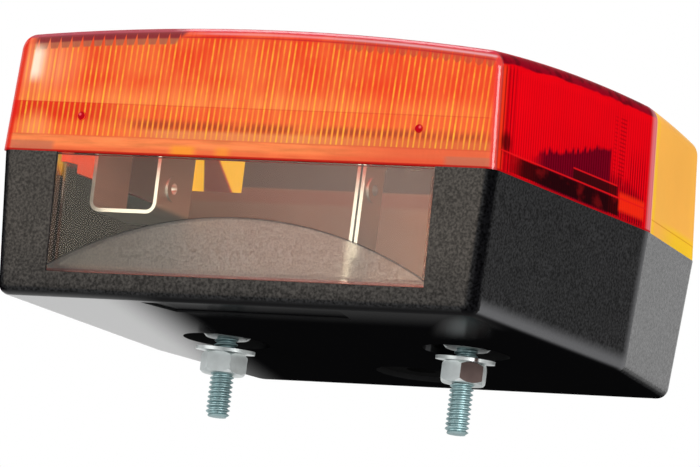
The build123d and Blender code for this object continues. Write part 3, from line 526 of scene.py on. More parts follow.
def plain_strip(n, lens, at, tone):
    """Plain strip above the joint, redder to the right and below, with two yellow spots."""
    drawn = mottle(n, lens.strip_salmon, n.stretch(at.place, 0.12, 0.0, 1.1), 0.7, 0.45)
    strip = n.paint(drawn["Color"], (0.76, 0.125, 0.055, 1), at.right, 0.85)
    strip = n.paint(strip, (0.80, 0.07, 0.03, 1), n.span(at.up, 2.6, 1.0), 0.45)
    # Painted shade at the ends of the strip, where the black ledge lies behind
    ends = n.both(n.span(at.reach, 57.5, 59.5), n.span(at.up, 3.0, 2.4))
    strip = n.paint(strip, (0.52, 0.17, 0.10, 1), ends, 0.7)
    spots = n.either(n.between(at.x, -22.5, -15.5, 1.5), n.both(n.between(at.x, -9.0, -5.0, 1.5), 0.7))
    strip = n.paint(strip, (0.98, 0.36, 0.03, 1), spots, n.span(at.up, 3.4, 2.0), 0.75)
    tone = n.paint(tone, strip, n.span(at.up, 4.7, 4.3))
    return n.paint(tone, (0.62, 0.06, 0.03, 1), n.between(at.up, 4.3, 4.6, 0.15), 0.35)


def top_edge_light_and_shade(n, lens, at, tone):
    """Painted shade and reflection on the rounded top edge, partly the thicker plastic there, cut by the
    pointed ends of every second rib, and a painted highlight along the brow.
    """
    x, under_top = at.x, at.under_top
    teeth = rib_lines(n, at.lean, 2 * lens.rib_pitch * MM, 0.6)["Wave"]
    tooth = n.minus(n.scaled(under_top, 0.13, teeth), 1.19)
    outside = n.span(tooth, 0.08, -0.08)
    left = n.both(n.span(n.total(x, under_top), -20.0, -22.0), n.span(x, -69.0, -66.5))
    top_edge_tone = n.blend(n.span(under_top, 2.5, 3.1), lens.top_edge_shade, (0.40, 0.13, 0.075, 1))
    tone = n.paint(tone, top_edge_tone, n.span(under_top, 4.7, 4.1), outside, left, 0.9)
    wave = n.scaled(teeth, 1.2, under_top)
    ending = n.both(n.span(wave, 5.0, 4.4), outside, n.span(x, 18.0, 30.0))
    tone = n.paint(tone, (0.42, 0.075, 0.05, 1), ending, 0.55)
    bare = n.span(x, -24.5, -21.5)
    edge = n.blend(bare, (0.44, 0.10, 0.13, 1), (0.62, 0.012, 0.05, 1))
    tone = n.paint(tone, edge, n.span(under_top, 1.3, 0.8), 0.9)
    # Painted highlight along the brow
    brow = n.both(n.between(under_top, 1.35, 1.75, 0.4), n.span(x, -25.0, -10.0))
    tone = n.paint(tone, (0.90, 0.58, 0.66, 1), brow, n.level(at.right, 0.5, 0.8))
    return n.paint(tone, (0.46, 0.012, 0.03, 1), n.between(under_top, 2.35, 2.7, 0.2), bare, 0.7)


def front_ends(n, at, tone):
    """Painted highlight at the left end, red ends and moulded pips with a painted glint."""
    glare = n.both(n.span(at.reach, 69.8, 69.0), n.span(at.reach, 64.6, 68.4), n.span(at.x, 0.0, -10.0),
                   n.between(at.up, 19.5, 27.5, 2.0))
    tone = n.paint(tone, (1.0, 0.90, 0.70, 1), glare, 0.95)
    tone = n.paint(tone, (0.74, 0.016, 0.012, 1), n.span(at.reach, 71.2, 72.0), 0.85)
    glint = n.disc(at.across, at.up, (51.2, 10.1), 0.35, 0.2)
    pip_tone = n.blend(glint, (0.46, 0.003, 0.012, 1), (0.90, 0.12, 0.12, 1))
    return n.paint(tone, pip_tone, n.disc(at.across, at.up, (50.8, 9.7), 1.15, 0.2))


def front_tone(n, lens, x, z, place):
    """Colour of the front: painted lines of light along the ribs, plain strip below, painted shade on the top
    edge above.
    """
    at = lens_front(n, lens, x, z, place)
    tone = front_backing(n, lens, at)
    tone = low_band(n, at, tone)
    tone = light_lines(n, lens, at, tone)
    tone = plain_strip(n, lens, at, tone)
    tone = top_edge_light_and_shade(n, lens, at, tone)
    return front_ends(n, at, tone)


# Lens sides: heights are measured up from the housing's rim


def lens_side(n, lens, y, z, place):
    """Places on the lens sides, with their ribs and blots."""
    top = n.scaled(n.calc("MULTIPLY", y, y), CROWN_FALL, LENS_TOP - 3.6)
    return SimpleNamespace(
        y=y, z=z, up=n.minus(z, RIM), place=place,
        under_top=n.minus(top, z),
        ribs=rib_lines(n, y, lens.side_rib_pitch * MM, 0.6),
        blots=n.noise(n.stretch(place, 0.0, 0.10, 0.16), 1.0, 3.0))


def side_ribs(n, lens, at):
    """Deep red with fine ribs, and broad ribs next to the front corner."""
    tone = mottle(n, lens.side_red, at.place, 0.05, 0.12)["Color"]
    stronger = n.level(n.span(at.up, 24.0, 10.0), 0.35, 0.65)
    tone = n.paint(tone, (0.30, 0.0, 0.003, 1), at.ribs["Line"], stronger, n.span(at.under_top, 3.0, 6.0))
    broad = rib_lines(n, at.y, 1.9, 0.65)["Line"]
    near = n.both(n.span(at.y, -53.0, -58.0), n.span(at.under_top, 2.5, 4.5))
    tone = n.paint(tone, (0.90, 0.055, 0.012, 1), near, n.span(at.y, -60.0, -63.0), 0.7)
    tone = n.paint(tone, (0.16, 0.0, 0.003, 1), near, broad, 0.75)
    # Painted shade where a part inside blocks the light coming through
    return n.paint(tone, (0.02, 0.001, 0.002, 1), n.disc(at.y, at.up, (-59.5, 8.0), 2.6, 1.4), 0.8)


def dark_humps(n, lens, at, tone):
    """Painted shade where the parts inside block the light: dark humps, with a second step below, stripes and a
    block.
    """
    y, line = at.y, at.ribs["Line"]
    ragged = n.scaled(at.ribs["Chance"], 1.6, n.calc("MULTIPLY", at.blots, 3.0))
    depth = n.minus(ragged, at.up)
    slope = n.scaled(n.total(y, 43.0), 0.2325, 6.2)
    first = n.both(n.span(n.total(slope, depth), -0.7, 0.7), n.span(y, -47.0, -37.0),
                   n.span(y, -0.8, -2.4))
    fall = n.scaled(y, -0.19, 9.2)
    second = n.both(n.span(n.total(fall, depth), -1.5, 1.5), n.between(y, -2.0, 18.0, 0.8),
                    n.level(line, 0.35, 0.95))
    dark = n.blend(line, (0.13, 0.0, 0.010, 1), lens.shade_red)
    tone = n.paint(tone, dark, first, 0.93)
    tone = n.paint(tone, (0.07, 0.0, 0.005, 1), second)
    stripes = n.both(line, n.between(y, 9.0, 18.0, 0.8), n.span(at.up, 23.0, 14.0))
    tone = n.paint(tone, (0.07, 0.0, 0.004, 1), stripes, 0.7)
    block = n.both(n.between(at.up, 5.8, 8.4, 0.2), n.between(y, -22.0, 3.0, 0.4))
    return n.paint(tone, (0.035, 0.002, 0.003, 1), block, 0.9)


def side_lights(n, at, tone):
    """Painted shade over the dark ledge above the joint, a painted bright spot and two painted bright lines of
    light, and a ladder of dashes.
    """
    y, up = at.y, at.up
    ledge = n.both(n.between(up, 0.8, 5.3, 0.25), n.span(y, -62.0, -48.0), n.span(y, 5.0, 3.8))
    ledge_shade = n.blend(n.span(at.blots, 0.5, 0.66), (0.010, 0.001, 0.002, 1), (0.12, 0.003, 0.004, 1))
    tone = n.paint(tone, ledge_shade, ledge, 0.94)
    spot = n.both(n.between(y, 4.2, 18.6, 0.8), n.between(up, 2.4, 7.2, 0.8))
    tone = n.paint(tone, (0.96, 0.025, 0.006, 1), spot, 0.85)
    for height, start, end in ((5.65, -63.0, 20.0), (8.65, -22.0, 3.0)):
        line = n.both(n.between(up, height - 0.2, height + 0.2, 0.15), n.between(y, start, end, 0.4))
        tone = n.paint(tone, (0.78, 0.008, 0.010, 1), line, 0.85)
    dashes = rib_lines(n, at.z, 1.05, 0.7)["Line"]
    ladder = n.either(n.between(y, 2.6, 6.0, 0.5), n.both(n.between(y, -0.4, 1.2, 0.3), 0.6))
    return n.paint(tone, (0.20, 0.0, 0.004, 1), dashes, ladder, n.between(up, 11.0, 27.0, 1.0), 0.6)


def side_edges(n, at, tone):
    """Painted shade on the rounded top, partly the thicker plastic there, and a painted highlight along the
    edge at the amber lens.
    """
    wavy = n.scaled(at.blots, -2.4, at.under_top)
    uneven = n.noise(n.stretch(at.place, 0.0, 0.22, 0.3), 1.0)
    maroon = n.blend(n.span(uneven, 0.45, 0.62), (0.24, 0.001, 0.013, 1), (0.09, 0.001, 0.008, 1))
    tone = n.paint(tone, maroon, n.span(wavy, 2.2, 1.5), 0.9)
    tone = n.paint(tone, (0.60, 0.002, 0.010, 1), n.span(at.under_top, 0.5, 0.1), 0.6)
    return n.paint(tone, (0.83, 0.33, 0.36, 1), n.span(at.y, SPLIT - 4.2, SPLIT - 1.6), 0.6)


def side_tone(n, lens, y, z, place):
    """Colour of the sides: deep red with fine ribs, painted shade over what lies behind."""
    at = lens_side(n, lens, y, z, place)
    tone = side_ribs(n, lens, at)
    tone = dark_humps(n, lens, at, tone)
    tone = side_lights(n, at, tone)
    return side_edges(n, at, tone)


# Lens plastics


def prism_lines(n, pitch, x, y):
    """Grid of fine lines between square prisms, and the prisms' height."""
    first, second = rib_lines(n, x, pitch, 0.22), rib_lines(n, y, pitch, 0.22)
    return n.either(first["Line"], second["Line"]), n.total(first["Wave"], second["Wave"])


def polished_edges(n, x, ny, nz):
    """Mask of the polished front corners and of the front top edge right of its part in painted shade."""
    corner = n.both(n.between(ny, -0.93, -0.3, 0.05), n.span(nz, 0.5, 0.3))
    brow = n.both(n.between(ny, -0.95, -0.25, 0.05), n.span(nz, 0.3, 0.5), n.span(x, -27.0, -20.0), 0.6)
    return n.either(corner, brow)


def turned_in(n, middle, places, normals):
    """Mask of the surfaces that face the middle of the lens."""
    outward = [n.calc("MULTIPLY", n.minus(place, centre), normal)
               for place, centre, normal in zip(places, middle, normals)]
    return n.span(n.total(*outward), 1.0, -3.0)


def lens_shader(n, shader, color, roughness, height, polish, lit, glow, passed):
    """Tinted gloss; lit inner faces glow by emission as painted light, and lamp light goes on through in the
    lens's own colour.
    """
    seen = n.both(lit, n.opposite(n.ray("Is Diffuse Ray")))
    n.feed(shader, Base_Color=color, Roughness=roughness, Normal=n.bump(height, 0.12, 0.2),
           Transmission_Weight=0.1, IOR=1.04, Specular_IOR_Level=0.08, Coat_Weight=polish, Coat_Roughness=0.1,
           Emission_Color=n.blend(seen, (0, 0, 0, 1), glow), Emission_Strength=1.0)
    open_up(n, shader, n.ray("Is Shadow Ray"), passed)


def red_plastic():
    """Red lens: painted lines of light along the ribs of the front, deep red elsewhere."""
    lens = settings("tail_light_lens")
    material, n, shader = new_material("Red Lens Plastic")
    x, y, z, place = n.axes()
    nx, ny, nz = n.facing()
    lines, pillows = prism_lines(n, lens.crown_pitch * MM, x, y)
    crown = n.span(nz, 0.93, 0.985)
    mottled = mottle(n, lens.crown_red, place, 0.03, 0.25)["Color"]
    crown_tone = n.paint(mottled, (0.25, 0.001, 0.004, 1), lines, 0.6)
    side, front = side_tone(n, lens, y, z, place), front_tone(n, lens, x, z, place)
    color = n.blend(n.span(ny, -0.3, -0.6), side, front)
    color = n.blend(crown, color, crown_tone)
    color = n.paint(color, (0.45, 0.003, 0.006, 1), n.span(z, RIM + 0.7, RIM + 0.3), 0.9)
    ribs = n.both(rib_lines(n, x, lens.rib_pitch * MM, 0.5)["Wave"], n.span(ny, -0.9, -0.98))
    height = n.total(ribs, n.both(pillows, crown, 0.5))
    inner = turned_in(n, RED_MIDDLE, (x, y, z), (nx, ny, nz))
    polish = n.either(n.both(polished_edges(n, x, ny, nz), 0.9), n.both(crown, 0.15))
    polish = n.both(polish, n.opposite(inner))
    # Inner faces: painted shade far back, red near the front, where they glow as painted light
    near = n.span(y, -10.0, -19.0)
    inner_tone = n.blend(near, (0.11, 0.06, 0.045, 1), (0.5, 0.04, 0.012, 1))
    color = n.paint(color, inner_tone, inner)
    lit = n.both(inner, n.level(near, 0.04, 1.0))
    lens_shader(n, shader, color, 0.07, height, polish, lit, (0.62, 0.055, 0.012, 1), (0.95, 0.62, 0.48, 1))
    return material


def amber_plastic():
    """Amber lens with deeper edges, a thin inner line above the rim and a painted highlight at the joint; inner
    faces glow as painted light around a dark curve of painted shade.
    """
    lens = settings("tail_light_lens")
    material, n, shader = new_material("Amber Lens Plastic")
    x, y, z, place = n.axes()
    nx, ny, nz = n.facing()
    up = n.minus(z, RIM)
    behind = n.minus(y, SPLIT)
    lines, pillows = prism_lines(n, lens.crown_pitch * MM, x, y)
    crown = n.span(nz, 0.93, 0.985)
    low = n.both(n.span(up, 6.0, 3.6), n.span(behind, 4.0, 26.0))
    edges = n.either(n.both(n.span(behind, 4.5, 1.5), 0.8), low)
    color = mottle(n, lens.amber, place, 0.03, 0.12)["Color"]
    color = n.paint(color, lens.amber_edge, edges, 0.85)
    color = n.paint(color, (0.66, 0.22, 0.01, 1), n.between(up, 3.5, 3.8, 0.15), 0.6)
    color = n.paint(color, (0.62, 0.22, 0.02, 1), lines, crown, 0.5)
    # Painted highlight along the joint with the red lens
    color = n.paint(color, (0.95, 0.5, 0.35, 1), n.span(behind, 1.0, 0.2), 0.6)
    inner = turned_in(n, AMBER_MIDDLE, (x, y, z), (nx, ny, nz))
    color = n.paint(color, (0.5, 0.2, 0.0, 1), inner)
    # Painted shade in a dark curve on the inner faces, with painted glow along its edge
    bow = n.scaled(up, 0.95, n.minus(y, 53.6))
    dark_curve = n.both(n.span(bow, 0.3, -0.3), n.span(n.scaled(up, 0.23, y), 34.66, 35.26))
    color = n.paint(color, (0.06, 0.012, 0.004, 1), inner, dark_curve)
    dark_curve_edge = n.both(dark_curve, n.span(bow, -1.0, -0.5))
    dark_curve_glow = n.blend(dark_curve_edge, (0.12, 0.012, 0.004, 1), (0.62, 0.06, 0.012, 1))
    glow = n.blend(dark_curve, (0.85, 0.46, 0.0, 1), dark_curve_glow)
    lens_shader(n, shader, color, 0.1, n.both(pillows, crown), n.both(crown, 0.15), inner, glow,
                (1.0, 0.8, 0.5, 1))
    return material


# Other materials


def clear_plastic():
    """Window: clear above an arc, frosted and grainy below it, with a left flange darkened by painted shadow
    and painted red light along the bottom edge.
    """
    case = settings("tail_light_case")
    material, n, shader = new_material("Clear Window Plastic")
    x, y, z, place = n.axes()
    frost = grain(n, place, 0.55)
    centre = (0.0, (case.frost_top - case.frost_radius) * MM)
    over = n.minus(n.distance(x, z, centre), case.frost_radius * MM)
    frosted = n.span(over, 0.1, -0.1)
    arc = n.both(n.span(over, -0.35, -0.05), n.span(over, 0.35, 0.05))
    color = mottle(n, case.window_tint, place, 0.04, 0.1)["Color"]
    color = n.paint(color, case.frost_tint, frosted, frost["Height"])
    sparkle = n.scaled(frost["Spots"], 0.3, 0.85)
    color = n.blend(frosted, color, n.grey(sparkle), "MULTIPLY")
    color = n.paint(color, (0.05, 0.05, 0.05, 1), arc, 0.8)
    # Painted shadow of the frame's edge on the left flange
    flange = n.both(n.span(y, WINDOW_FRONT + 3.0, WINDOW_FRONT + 4.5),
                    n.span(x, WINDOW_LEFT + 4.4, WINDOW_LEFT + 3.9))
    color = n.paint(color, (0.05, 0.045, 0.04, 1), flange, 0.9)
    # Painted red light piped down to the bottom edge
    bottom = n.span(z, WINDOW_BOTTOM + 0.8, WINDOW_BOTTOM + 0.4)
    color = n.paint(color, (0.75, 0.14, 0.13, 1), bottom, 0.8)
    milk = n.both(n.scaled(frost["Spots"], 0.6, 0.16), n.level(n.span(x, -58.0, 5.0), 0.45, 1.0))
    haze = n.level(frosted, n.level(n.span(x, -30.0, 50.0), 0.0, 0.18), milk)
    n.feed(shader, Base_Color=color, Roughness=n.level(frosted, 0.02, 0.5), Transmission_Weight=0.97, IOR=1.12,
           Specular_IOR_Level=0.2, Coat_Weight=n.both(haze, n.opposite(flange)), Coat_Roughness=0.45,
           Coat_IOR=1.9, Normal=n.bump(n.both(frost["Height"], frosted), 0.25, 0.1))
    open_up(n, shader, n.ray("Is Shadow Ray"), (0.93, 0.92, 0.91, 1))
    return material


def divider_plastic():
    """Divider: smooth plastic, painted lighter to the right, a painted warm reflection of the red lens below a
    step and painted shade above it.
    """
    case = settings("tail_light_case")
    material, n, shader = new_material("Divider Plastic")
    x, _, z, place = n.axes()
    up = n.minus(z, RIM)
    color = mottle(n, case.divider, n.stretch(place, 0.3, 1.0, 1.0), 0.1, 0.25)["Color"]
    # Painted light to the right, painted reflection of the red lens in a band, painted shade above it
    color = n.paint(color, (0.98, 0.56, 0.27, 1), n.span(x, -15.0, 45.0))
    color = n.paint(color, (0.42, 0.17, 0.11, 1), n.between(up, 3.5, 7.6, 1.0), 0.6)
    color = n.paint(color, (0.085, 0.075, 0.07, 1), n.span(up, 7.3, 7.9), 0.8)
    fine = grain(n, place, 1.5)["Height"]
    n.feed(shader, Base_Color=color, Roughness=n.scaled(fine, 0.2, 0.25),
           Specular_IOR_Level=0.3, Normal=n.bump(fine, 0.05, 0.15))
    return material


def uneven_plating(n, color, patina, x, place):
    """Plating that differs from face to face, with a painted dark reflection on one face of the right nut."""
    normal = n.put("ShaderNodeNewGeometry").outputs["Normal"]
    shifted = n.put("ShaderNodeVectorMath", normal, n.stretch(place, 0.02, 0.02, 0.0), operation="ADD")
    tone = n.blend(n.span(n.noise(shifted.outputs[0], 1.6, 1.0), 0.30, 0.55), patina, color)
    nx, ny, _ = n.facing()
    # Painted dark reflection on one face of the right nut
    dark_reflection = n.both(n.between(nx, 0.72, 0.82, 0.03), n.span(ny, -0.4, -0.55), n.span(x, 30.0, 31.0))
    return n.paint(tone, (0.030, 0.013, 0.010, 1), dark_reflection, 0.97)


def metal(name, color, rough, scale, streaks, change, relief=0.05, patina=None):
    """Bare or plated metal with uneven tone and fine streaks or grain."""
    material, n, shader = new_material(name)
    x, _, _, place = n.axes()
    drawn = n.stretch(place, *streaks)
    tone = uneven_plating(n, color, patina, x, place) if patina else color
    mottled = mottle(n, tone, drawn, scale, change)
    fine = grain(n, drawn, 0.5 / scale)["Height"]
    n.feed(shader, Base_Color=mottled["Color"], Metallic=1.0, Normal=n.bump(fine, relief, 0.1),
           Roughness=n.scaled(mottled["Tone"], 0.25, rough))
    return material


def dull(name, color, rough, size, gloss):
    """Rubber or board with a mottled tone and fine grain."""
    material, n, shader = new_material(name)
    place = n.axes()[-1]
    mottled = mottle(n, color, place, 0.25, 0.25)
    fine = grain(n, place, size)["Height"]
    n.feed(shader, Base_Color=mottled["Color"], Roughness=n.scaled(fine, 0.2, rough),
           Specular_IOR_Level=gloss, Normal=n.bump(fine, 0.2, 0.15))
    return material


def bulb_glass():
    """Thin clear glass with a faint film."""
    material, n, shader = new_material("Bulb Glass")
    film = mottle(n, (0.93, 0.94, 0.94, 1), n.axes()[-1], 0.12, 0.08)
    n.feed(shader, Base_Color=film["Color"], Roughness=0.02, Transmission_Weight=0.95, IOR=1.1)
    return material


def pale_floor():
    """Plain pale floor that the camera sees through from below."""
    material, n, shader = new_material("Pale Floor")
    mottled = mottle(n, settings("tail_light_stage").floor_tone, n.axes()[-1], 0.002, 0.02)
    n.feed(shader, Base_Color=mottled["Color"], Roughness=0.8, Specular_IOR_Level=0.0)
    open_up(n, shader, n.put("ShaderNodeNewGeometry").outputs["Backfacing"])
    return material


# Modelling helpers


def start_alone():
    """Leaves edit mode and deselects every object."""
    if bpy.context.object and bpy.context.object.mode != "OBJECT":
        bpy.ops.object.mode_set(mode="OBJECT")
    bpy.ops.object.select_all(action="DESELECT")


def settle(piece, name, material, slot, *nodes):
    """Names a finished piece, puts its place in its mesh, and ties it to the part."""
    start_alone()
    piece.select_set(True)
    bpy.context.view_layer.objects.active = piece
    bpy.ops.object.transform_apply(location=True, rotation=True, scale=True)
    bpy.ops.object.shade_smooth_by_angle(angle=SMOOTH_ANGLE)
    piece.name = name
    piece.data.name = name
    piece.data.materials.clear()
    piece.data.materials.append(material)
    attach(piece, "root")
    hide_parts(*nodes)


def thread_profile(radius, bottom):
    """One turn of the thread's outline, drawn up from a single point beside Z; it stays in edit mode."""
    hardware = settings("tail_light_hardware")
    pitch, depth = hardware.thread_pitch, hardware.thread_depth
    flank = depth * math.tan(THREAD_FLANK)
    flat = (pitch - 2 * flank) / 2
    start_alone()
    bpy.ops.mesh.primitive_plane_add(size=depth, location=(radius - depth, 0, bottom - 2 * pitch))
    bpy.ops.object.transform_apply(location=True, rotation=True, scale=True)
    bpy.ops.object.mode_set(mode="EDIT")
    bpy.ops.mesh.select_all(action="SELECT")
    bpy.ops.mesh.merge(type="CENTER")
    for out, rise in ((0, flat / 2), (depth, flank), (0, flat), (-depth, flank), (0, flat / 2)):
        bpy.ops.mesh.extrude_region_move(TRANSFORM_OT_translate={"value": (out, 0, rise)})
    return bpy.context.object


def chamfer_end(rod, radius, bottom, width):
    """Draws the lower end in to a cone."""
    for vertex in rod.data.vertices:
        limit = radius - width + (vertex.co.z - bottom)
        across = math.hypot(vertex.co.x, vertex.co.y)
        if across > limit:
            vertex.co.x *= limit / across
            vertex.co.y *= limit / across


def threaded_rod(radius, bottom, top):
    """One stud round Z, with a helical thread, cut flat at both ends and bevelled at the lower one."""
    hardware = settings("tail_light_hardware")
    pitch = hardware.thread_pitch
    weld = pitch / 1000
    rod = thread_profile(radius, bottom)
    bpy.ops.object.mode_set(mode="OBJECT")
    screw = rod.modifiers.new("Thread", "SCREW")
    screw.screw_offset = pitch
    screw.iterations = math.ceil((top - bottom) / pitch) + 4
    screw.steps = screw.render_steps = THREAD_STEPS
    screw.use_merge_vertices = True
    screw.merge_threshold = weld
    bpy.ops.object.modifier_apply(modifier=screw.name)
    bpy.ops.object.mode_set(mode="EDIT")
    bpy.ops.mesh.select_all(action="SELECT")
    bpy.ops.mesh.remove_doubles(threshold=weld)
    for height, keep_up in ((bottom, True), (top, False)):
        bpy.ops.mesh.select_all(action="SELECT")
        bpy.ops.mesh.bisect(plane_co=(0, 0, height), plane_no=(0, 0, 1), use_fill=True, threshold=1e-7,
                            clear_inner=keep_up, clear_outer=not keep_up)
    bpy.ops.mesh.select_all(action="SELECT")
    bpy.ops.mesh.normals_make_consistent(inside=False)
    bpy.ops.object.mode_set(mode="OBJECT")
    chamfer_end(rod, radius, bottom, hardware.thread_depth)
    return rod


def hex_head(flats, low, high):
    """Hexagon head round Z with bevelled corners."""
    start_alone()
    bpy.ops.mesh.primitive_cylinder_add(vertices=6, radius=flats / math.sqrt(3), depth=high - low,
                                        location=(0, 0, (low + high) / 2))
    head = bpy.context.object
    bpy.ops.object.transform_apply(location=True, rotation=True, scale=True)
    soften = head.modifiers.new("Corners", "BEVEL")
    soften.width = flats / 25
    soften.segments = 2
    bpy.ops.object.modifier_apply(modifier=soften.name)
    return head


def join(pieces):
    """Joins pieces into the first."""
    start_alone()
    for piece in pieces:
        piece.select_set(True)
    bpy.context.view_layer.objects.active = pieces[0]
    bpy.ops.object.join()
    return pieces[0]


# Stage


def set_camera(scene, stage):
    """Camera at its place, turned by its right and forward directions."""
    data = bpy.data.cameras.new("Camera")
    data.sensor_width = 36.0
    data.lens = stage.focal_length
    data.clip_start, data.clip_end = 0.05, 50.0
    camera = bpy.data.objects.new("Camera", data)
    forward = CAMERA_FORWARD.normalized()
    up = CAMERA_RIGHT.cross(forward).normalized()
    turn = Matrix((forward.cross(up), up, -forward)).transposed().to_4x4()
    camera.matrix_world = Matrix.Translation(Vector(stage.camera_place)) @ turn
    scene.collection.objects.link(camera)
    scene.camera = camera


def set_world(scene, stage):
    """Surroundings that look white, and light the part more softly."""
    world = bpy.data.worlds.new("Studio")
    world.use_nodes = True
    world.node_tree.nodes.clear()
    n = NodeKit(world.node_tree)
    seen = n.either(*[n.ray(f"Is {kind} Ray") for kind in ("Camera", "Transmission", "Glossy")])
    background = n.put("ShaderNodeBackground", stage.backdrop, n.level(seen, stage.surround, 1.0))
    n.put("ShaderNodeOutputWorld", background.outputs[0])
    scene.world = world


def lay_floor(stage):
    """Pale floor under the part."""
    start_alone()
    bpy.ops.mesh.primitive_plane_add(size=stage.floor_size, location=(0, 0, stage.floor_z))
    floor = bpy.context.object
    floor.name = "pale_floor"
    floor.data.materials.append(pale_floor())


def hang_lamp(scene, name, place, size, power):
    """Square softbox that faces the part and isn't seen by the camera."""
    light = bpy.data.lights.new(name, "AREA")
    light.size = size
    light.energy = power
    lamp = bpy.data.objects.new(name, light)
    lamp.location = place
    lamp.visible_camera = False
    lamp.rotation_euler = (-Vector(place)).to_track_quat("-Z", "Y").to_euler()
    scene.collection.objects.link(lamp)


# Operators


class TAILLIGHT_OT_housing(bpy.types.Operator):
    """Give the housing its grained black plastic, the seals their rubber, and the divider its plastic"""

    bl_idname = "taillight.housing"
    bl_label = "Housing"

    def execute(self, context):
        dress(black_plastic(), "housing")
        rubber = dull("Black Rubber", settings("tail_light_case").rubber, 0.6, 0.4, gloss=0.0)
        dress(rubber, "lens_gasket", "cable_grommet")
        dress(divider_plastic(), "chamber_divider")
        return {"FINISHED"}


class TAILLIGHT_OT_lens(bpy.types.Operator):
    """Give the lenses their ribbed red and amber plastic"""

    bl_idname = "taillight.lens"
    bl_label = "Lenses"

    def execute(self, context):
        dress(red_plastic(), "red_lens")
        dress(amber_plastic(), "amber_lens")
        return {"FINISHED"}


class TAILLIGHT_OT_window(bpy.types.Operator):
    """Give the number plate window its clear plastic with the frosted field"""

    bl_idname = "taillight.window"
    bl_label = "Number plate window"

    def execute(self, context):
        dress(clear_plastic(), "number_plate_window")
        return {"FINISHED"}


class TAILLIGHT_OT_studs(bpy.types.Operator):
    """Model the threaded studs and finish the nuts, washers and screws in zinc"""

    bl_idname = "taillight.studs"
    bl_label = "Threaded studs"

    def execute(self, context):
        hardware = settings("tail_light_hardware")
        zinc = metal("Zinc Plated Steel", hardware.zinc, 0.32, 0.35, (1, 1, 1), 0.22, patina=hardware.patina)
        blue = metal("Blue Zinc Thread", hardware.thread_blue, 0.36, 0.5, (1, 1, 0.2), 0.35)
        dress(zinc, "clamp_nuts", "mounting_nuts", "mounting_washers", "lens_screws", "bracket_screws")
        head_flats = (BOLTS_HIGH.y - BOLTS_LOW.y) * math.sqrt(3) / 2
        reach = BOLTS_HIGH.x - head_flats / 2
        head_low = BOLTS_HIGH.z - hardware.head_height
        studs = []
        for side, end_z in ((-1, hardware.left_stud_end), (1, BOLTS_LOW.z)):
            rod = threaded_rod(hardware.stud_radius, end_z, head_low + hardware.head_overlap)
            stud = join([rod, hex_head(head_flats, head_low, BOLTS_HIGH.z)])
            stud.data.transform(Matrix.Translation((side * reach, 0, 0)))
            studs.append(stud)
        pair = join(studs)
        settle(pair, "threaded_studs", blue, "zinc_plated_steel", "mounting_bolts")
        return {"FINISHED"}


class TAILLIGHT_OT_inside(bpy.types.Operator):
    """Finish the brackets, sockets and bulbs"""

    bl_idname = "taillight.inside"
    bl_label = "Brackets and bulbs"

    def execute(self, context):
        hardware = settings("tail_light_hardware")
        sheet = metal("Bright Sheet", hardware.sheet, 0.22, 0.3, (1, 0.15, 1), 0.15)
        dress(sheet, "bulb_bracket", "socket_plate", "bracket_eyelets", "indicator_bracket")
        drawn = metal("Drawn Socket Sheet", hardware.socket, 0.25, 0.4, (0.2, 1, 1), 0.2, relief=0.06)
        dress(drawn, "tail_socket", "indicator_socket")
        brass = metal("Contact Brass", hardware.brass, 0.25, 0.5, (1, 1, 0.3), 0.2)
        dress(brass, "tail_contact_blades", "indicator_contact_blade")
        cap = metal("Nickel Plated Cap", hardware.nickel, 0.25, 0.5, (0.3, 1, 1), 0.2)
        dress(cap, "tail_bulb_cap", "indicator_bulb_cap")
        wire = metal("Filament Wire", hardware.wire, 0.35, 2.0, (1, 1, 1), 0.2)
        dress(wire, "tail_bulb_filaments", "indicator_bulb_filament")
        board = dull("Insulator Board", hardware.board, 0.5, 0.8, gloss=0.05)
        dress(board, "tail_socket_insulator", "indicator_socket_insulator")
        dress(bulb_glass(), "tail_bulb_glass", "indicator_bulb_glass")
        return {"FINISHED"}


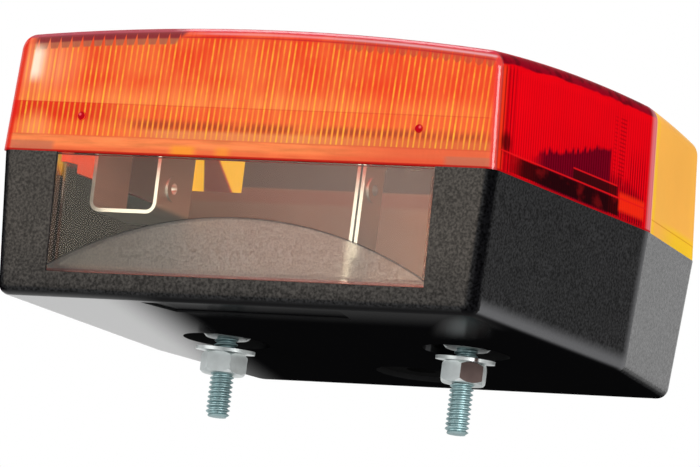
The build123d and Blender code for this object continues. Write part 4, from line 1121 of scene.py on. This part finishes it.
class TAILLIGHT_OT_stage(bpy.types.Operator):
    """Set the camera, the white surroundings, the pale floor and the lamps"""

    bl_idname = "taillight.stage"
    bl_label = "Stage"

    def execute(self, context):
        stage = settings("tail_light_stage")
        context.scene.view_settings.view_transform = "Standard"
        set_camera(context.scene, stage)
        set_world(context.scene, stage)
        lay_floor(stage)
        for lamp in LAMPS:
            hang_lamp(context.scene, *lamp)
        return {"FINISHED"}


class TAILLIGHT_PT_panel(bpy.types.Panel):
    """Buttons and settings of the tail light"""

    bl_label = "Tail Light"
    bl_idname = "TAILLIGHT_PT_panel"
    bl_space_type = "VIEW_3D"
    bl_region_type = "UI"
    bl_category = "Tail Light"

    def draw(self, context):
        for operator in OPERATORS:
            self.layout.operator(operator.bl_idname)
        for name, group in SETTINGS.items():
            box = self.layout.box()
            box.label(text=group.__doc__)
            values = getattr(context.scene, name)
            for key in group.__annotations__:
                box.prop(values, key)


SETTINGS = {
    "tail_light_lens": LensSettings,
    "tail_light_case": CaseSettings,
    "tail_light_hardware": HardwareSettings,
    "tail_light_stage": StageSettings,
}
OPERATORS = (
    TAILLIGHT_OT_housing,
    TAILLIGHT_OT_lens,
    TAILLIGHT_OT_window,
    TAILLIGHT_OT_studs,
    TAILLIGHT_OT_inside,
    TAILLIGHT_OT_stage,
)


def register():
    """Registers the settings, the operators and the panel."""
    for name, group in SETTINGS.items():
        bpy.utils.register_class(group)
        setattr(bpy.types.Scene, name, bpy.props.PointerProperty(type=group))
    for operator in OPERATORS:
        bpy.utils.register_class(operator)
    bpy.utils.register_class(TAILLIGHT_PT_panel)


def unregister():
    """Removes what register added."""
    bpy.utils.unregister_class(TAILLIGHT_PT_panel)
    for operator in reversed(OPERATORS):
        bpy.utils.unregister_class(operator)
    for name, group in reversed(SETTINGS.items()):
        delattr(bpy.types.Scene, name)
        bpy.utils.unregister_class(group)


def main():
    """Builds the scene."""
    register()
    bpy.ops.taillight.housing()
    bpy.ops.taillight.lens()
    bpy.ops.taillight.window()
    bpy.ops.taillight.studs()
    bpy.ops.taillight.inside()
    bpy.ops.taillight.stage()


if __name__ == "__main__":
    main()
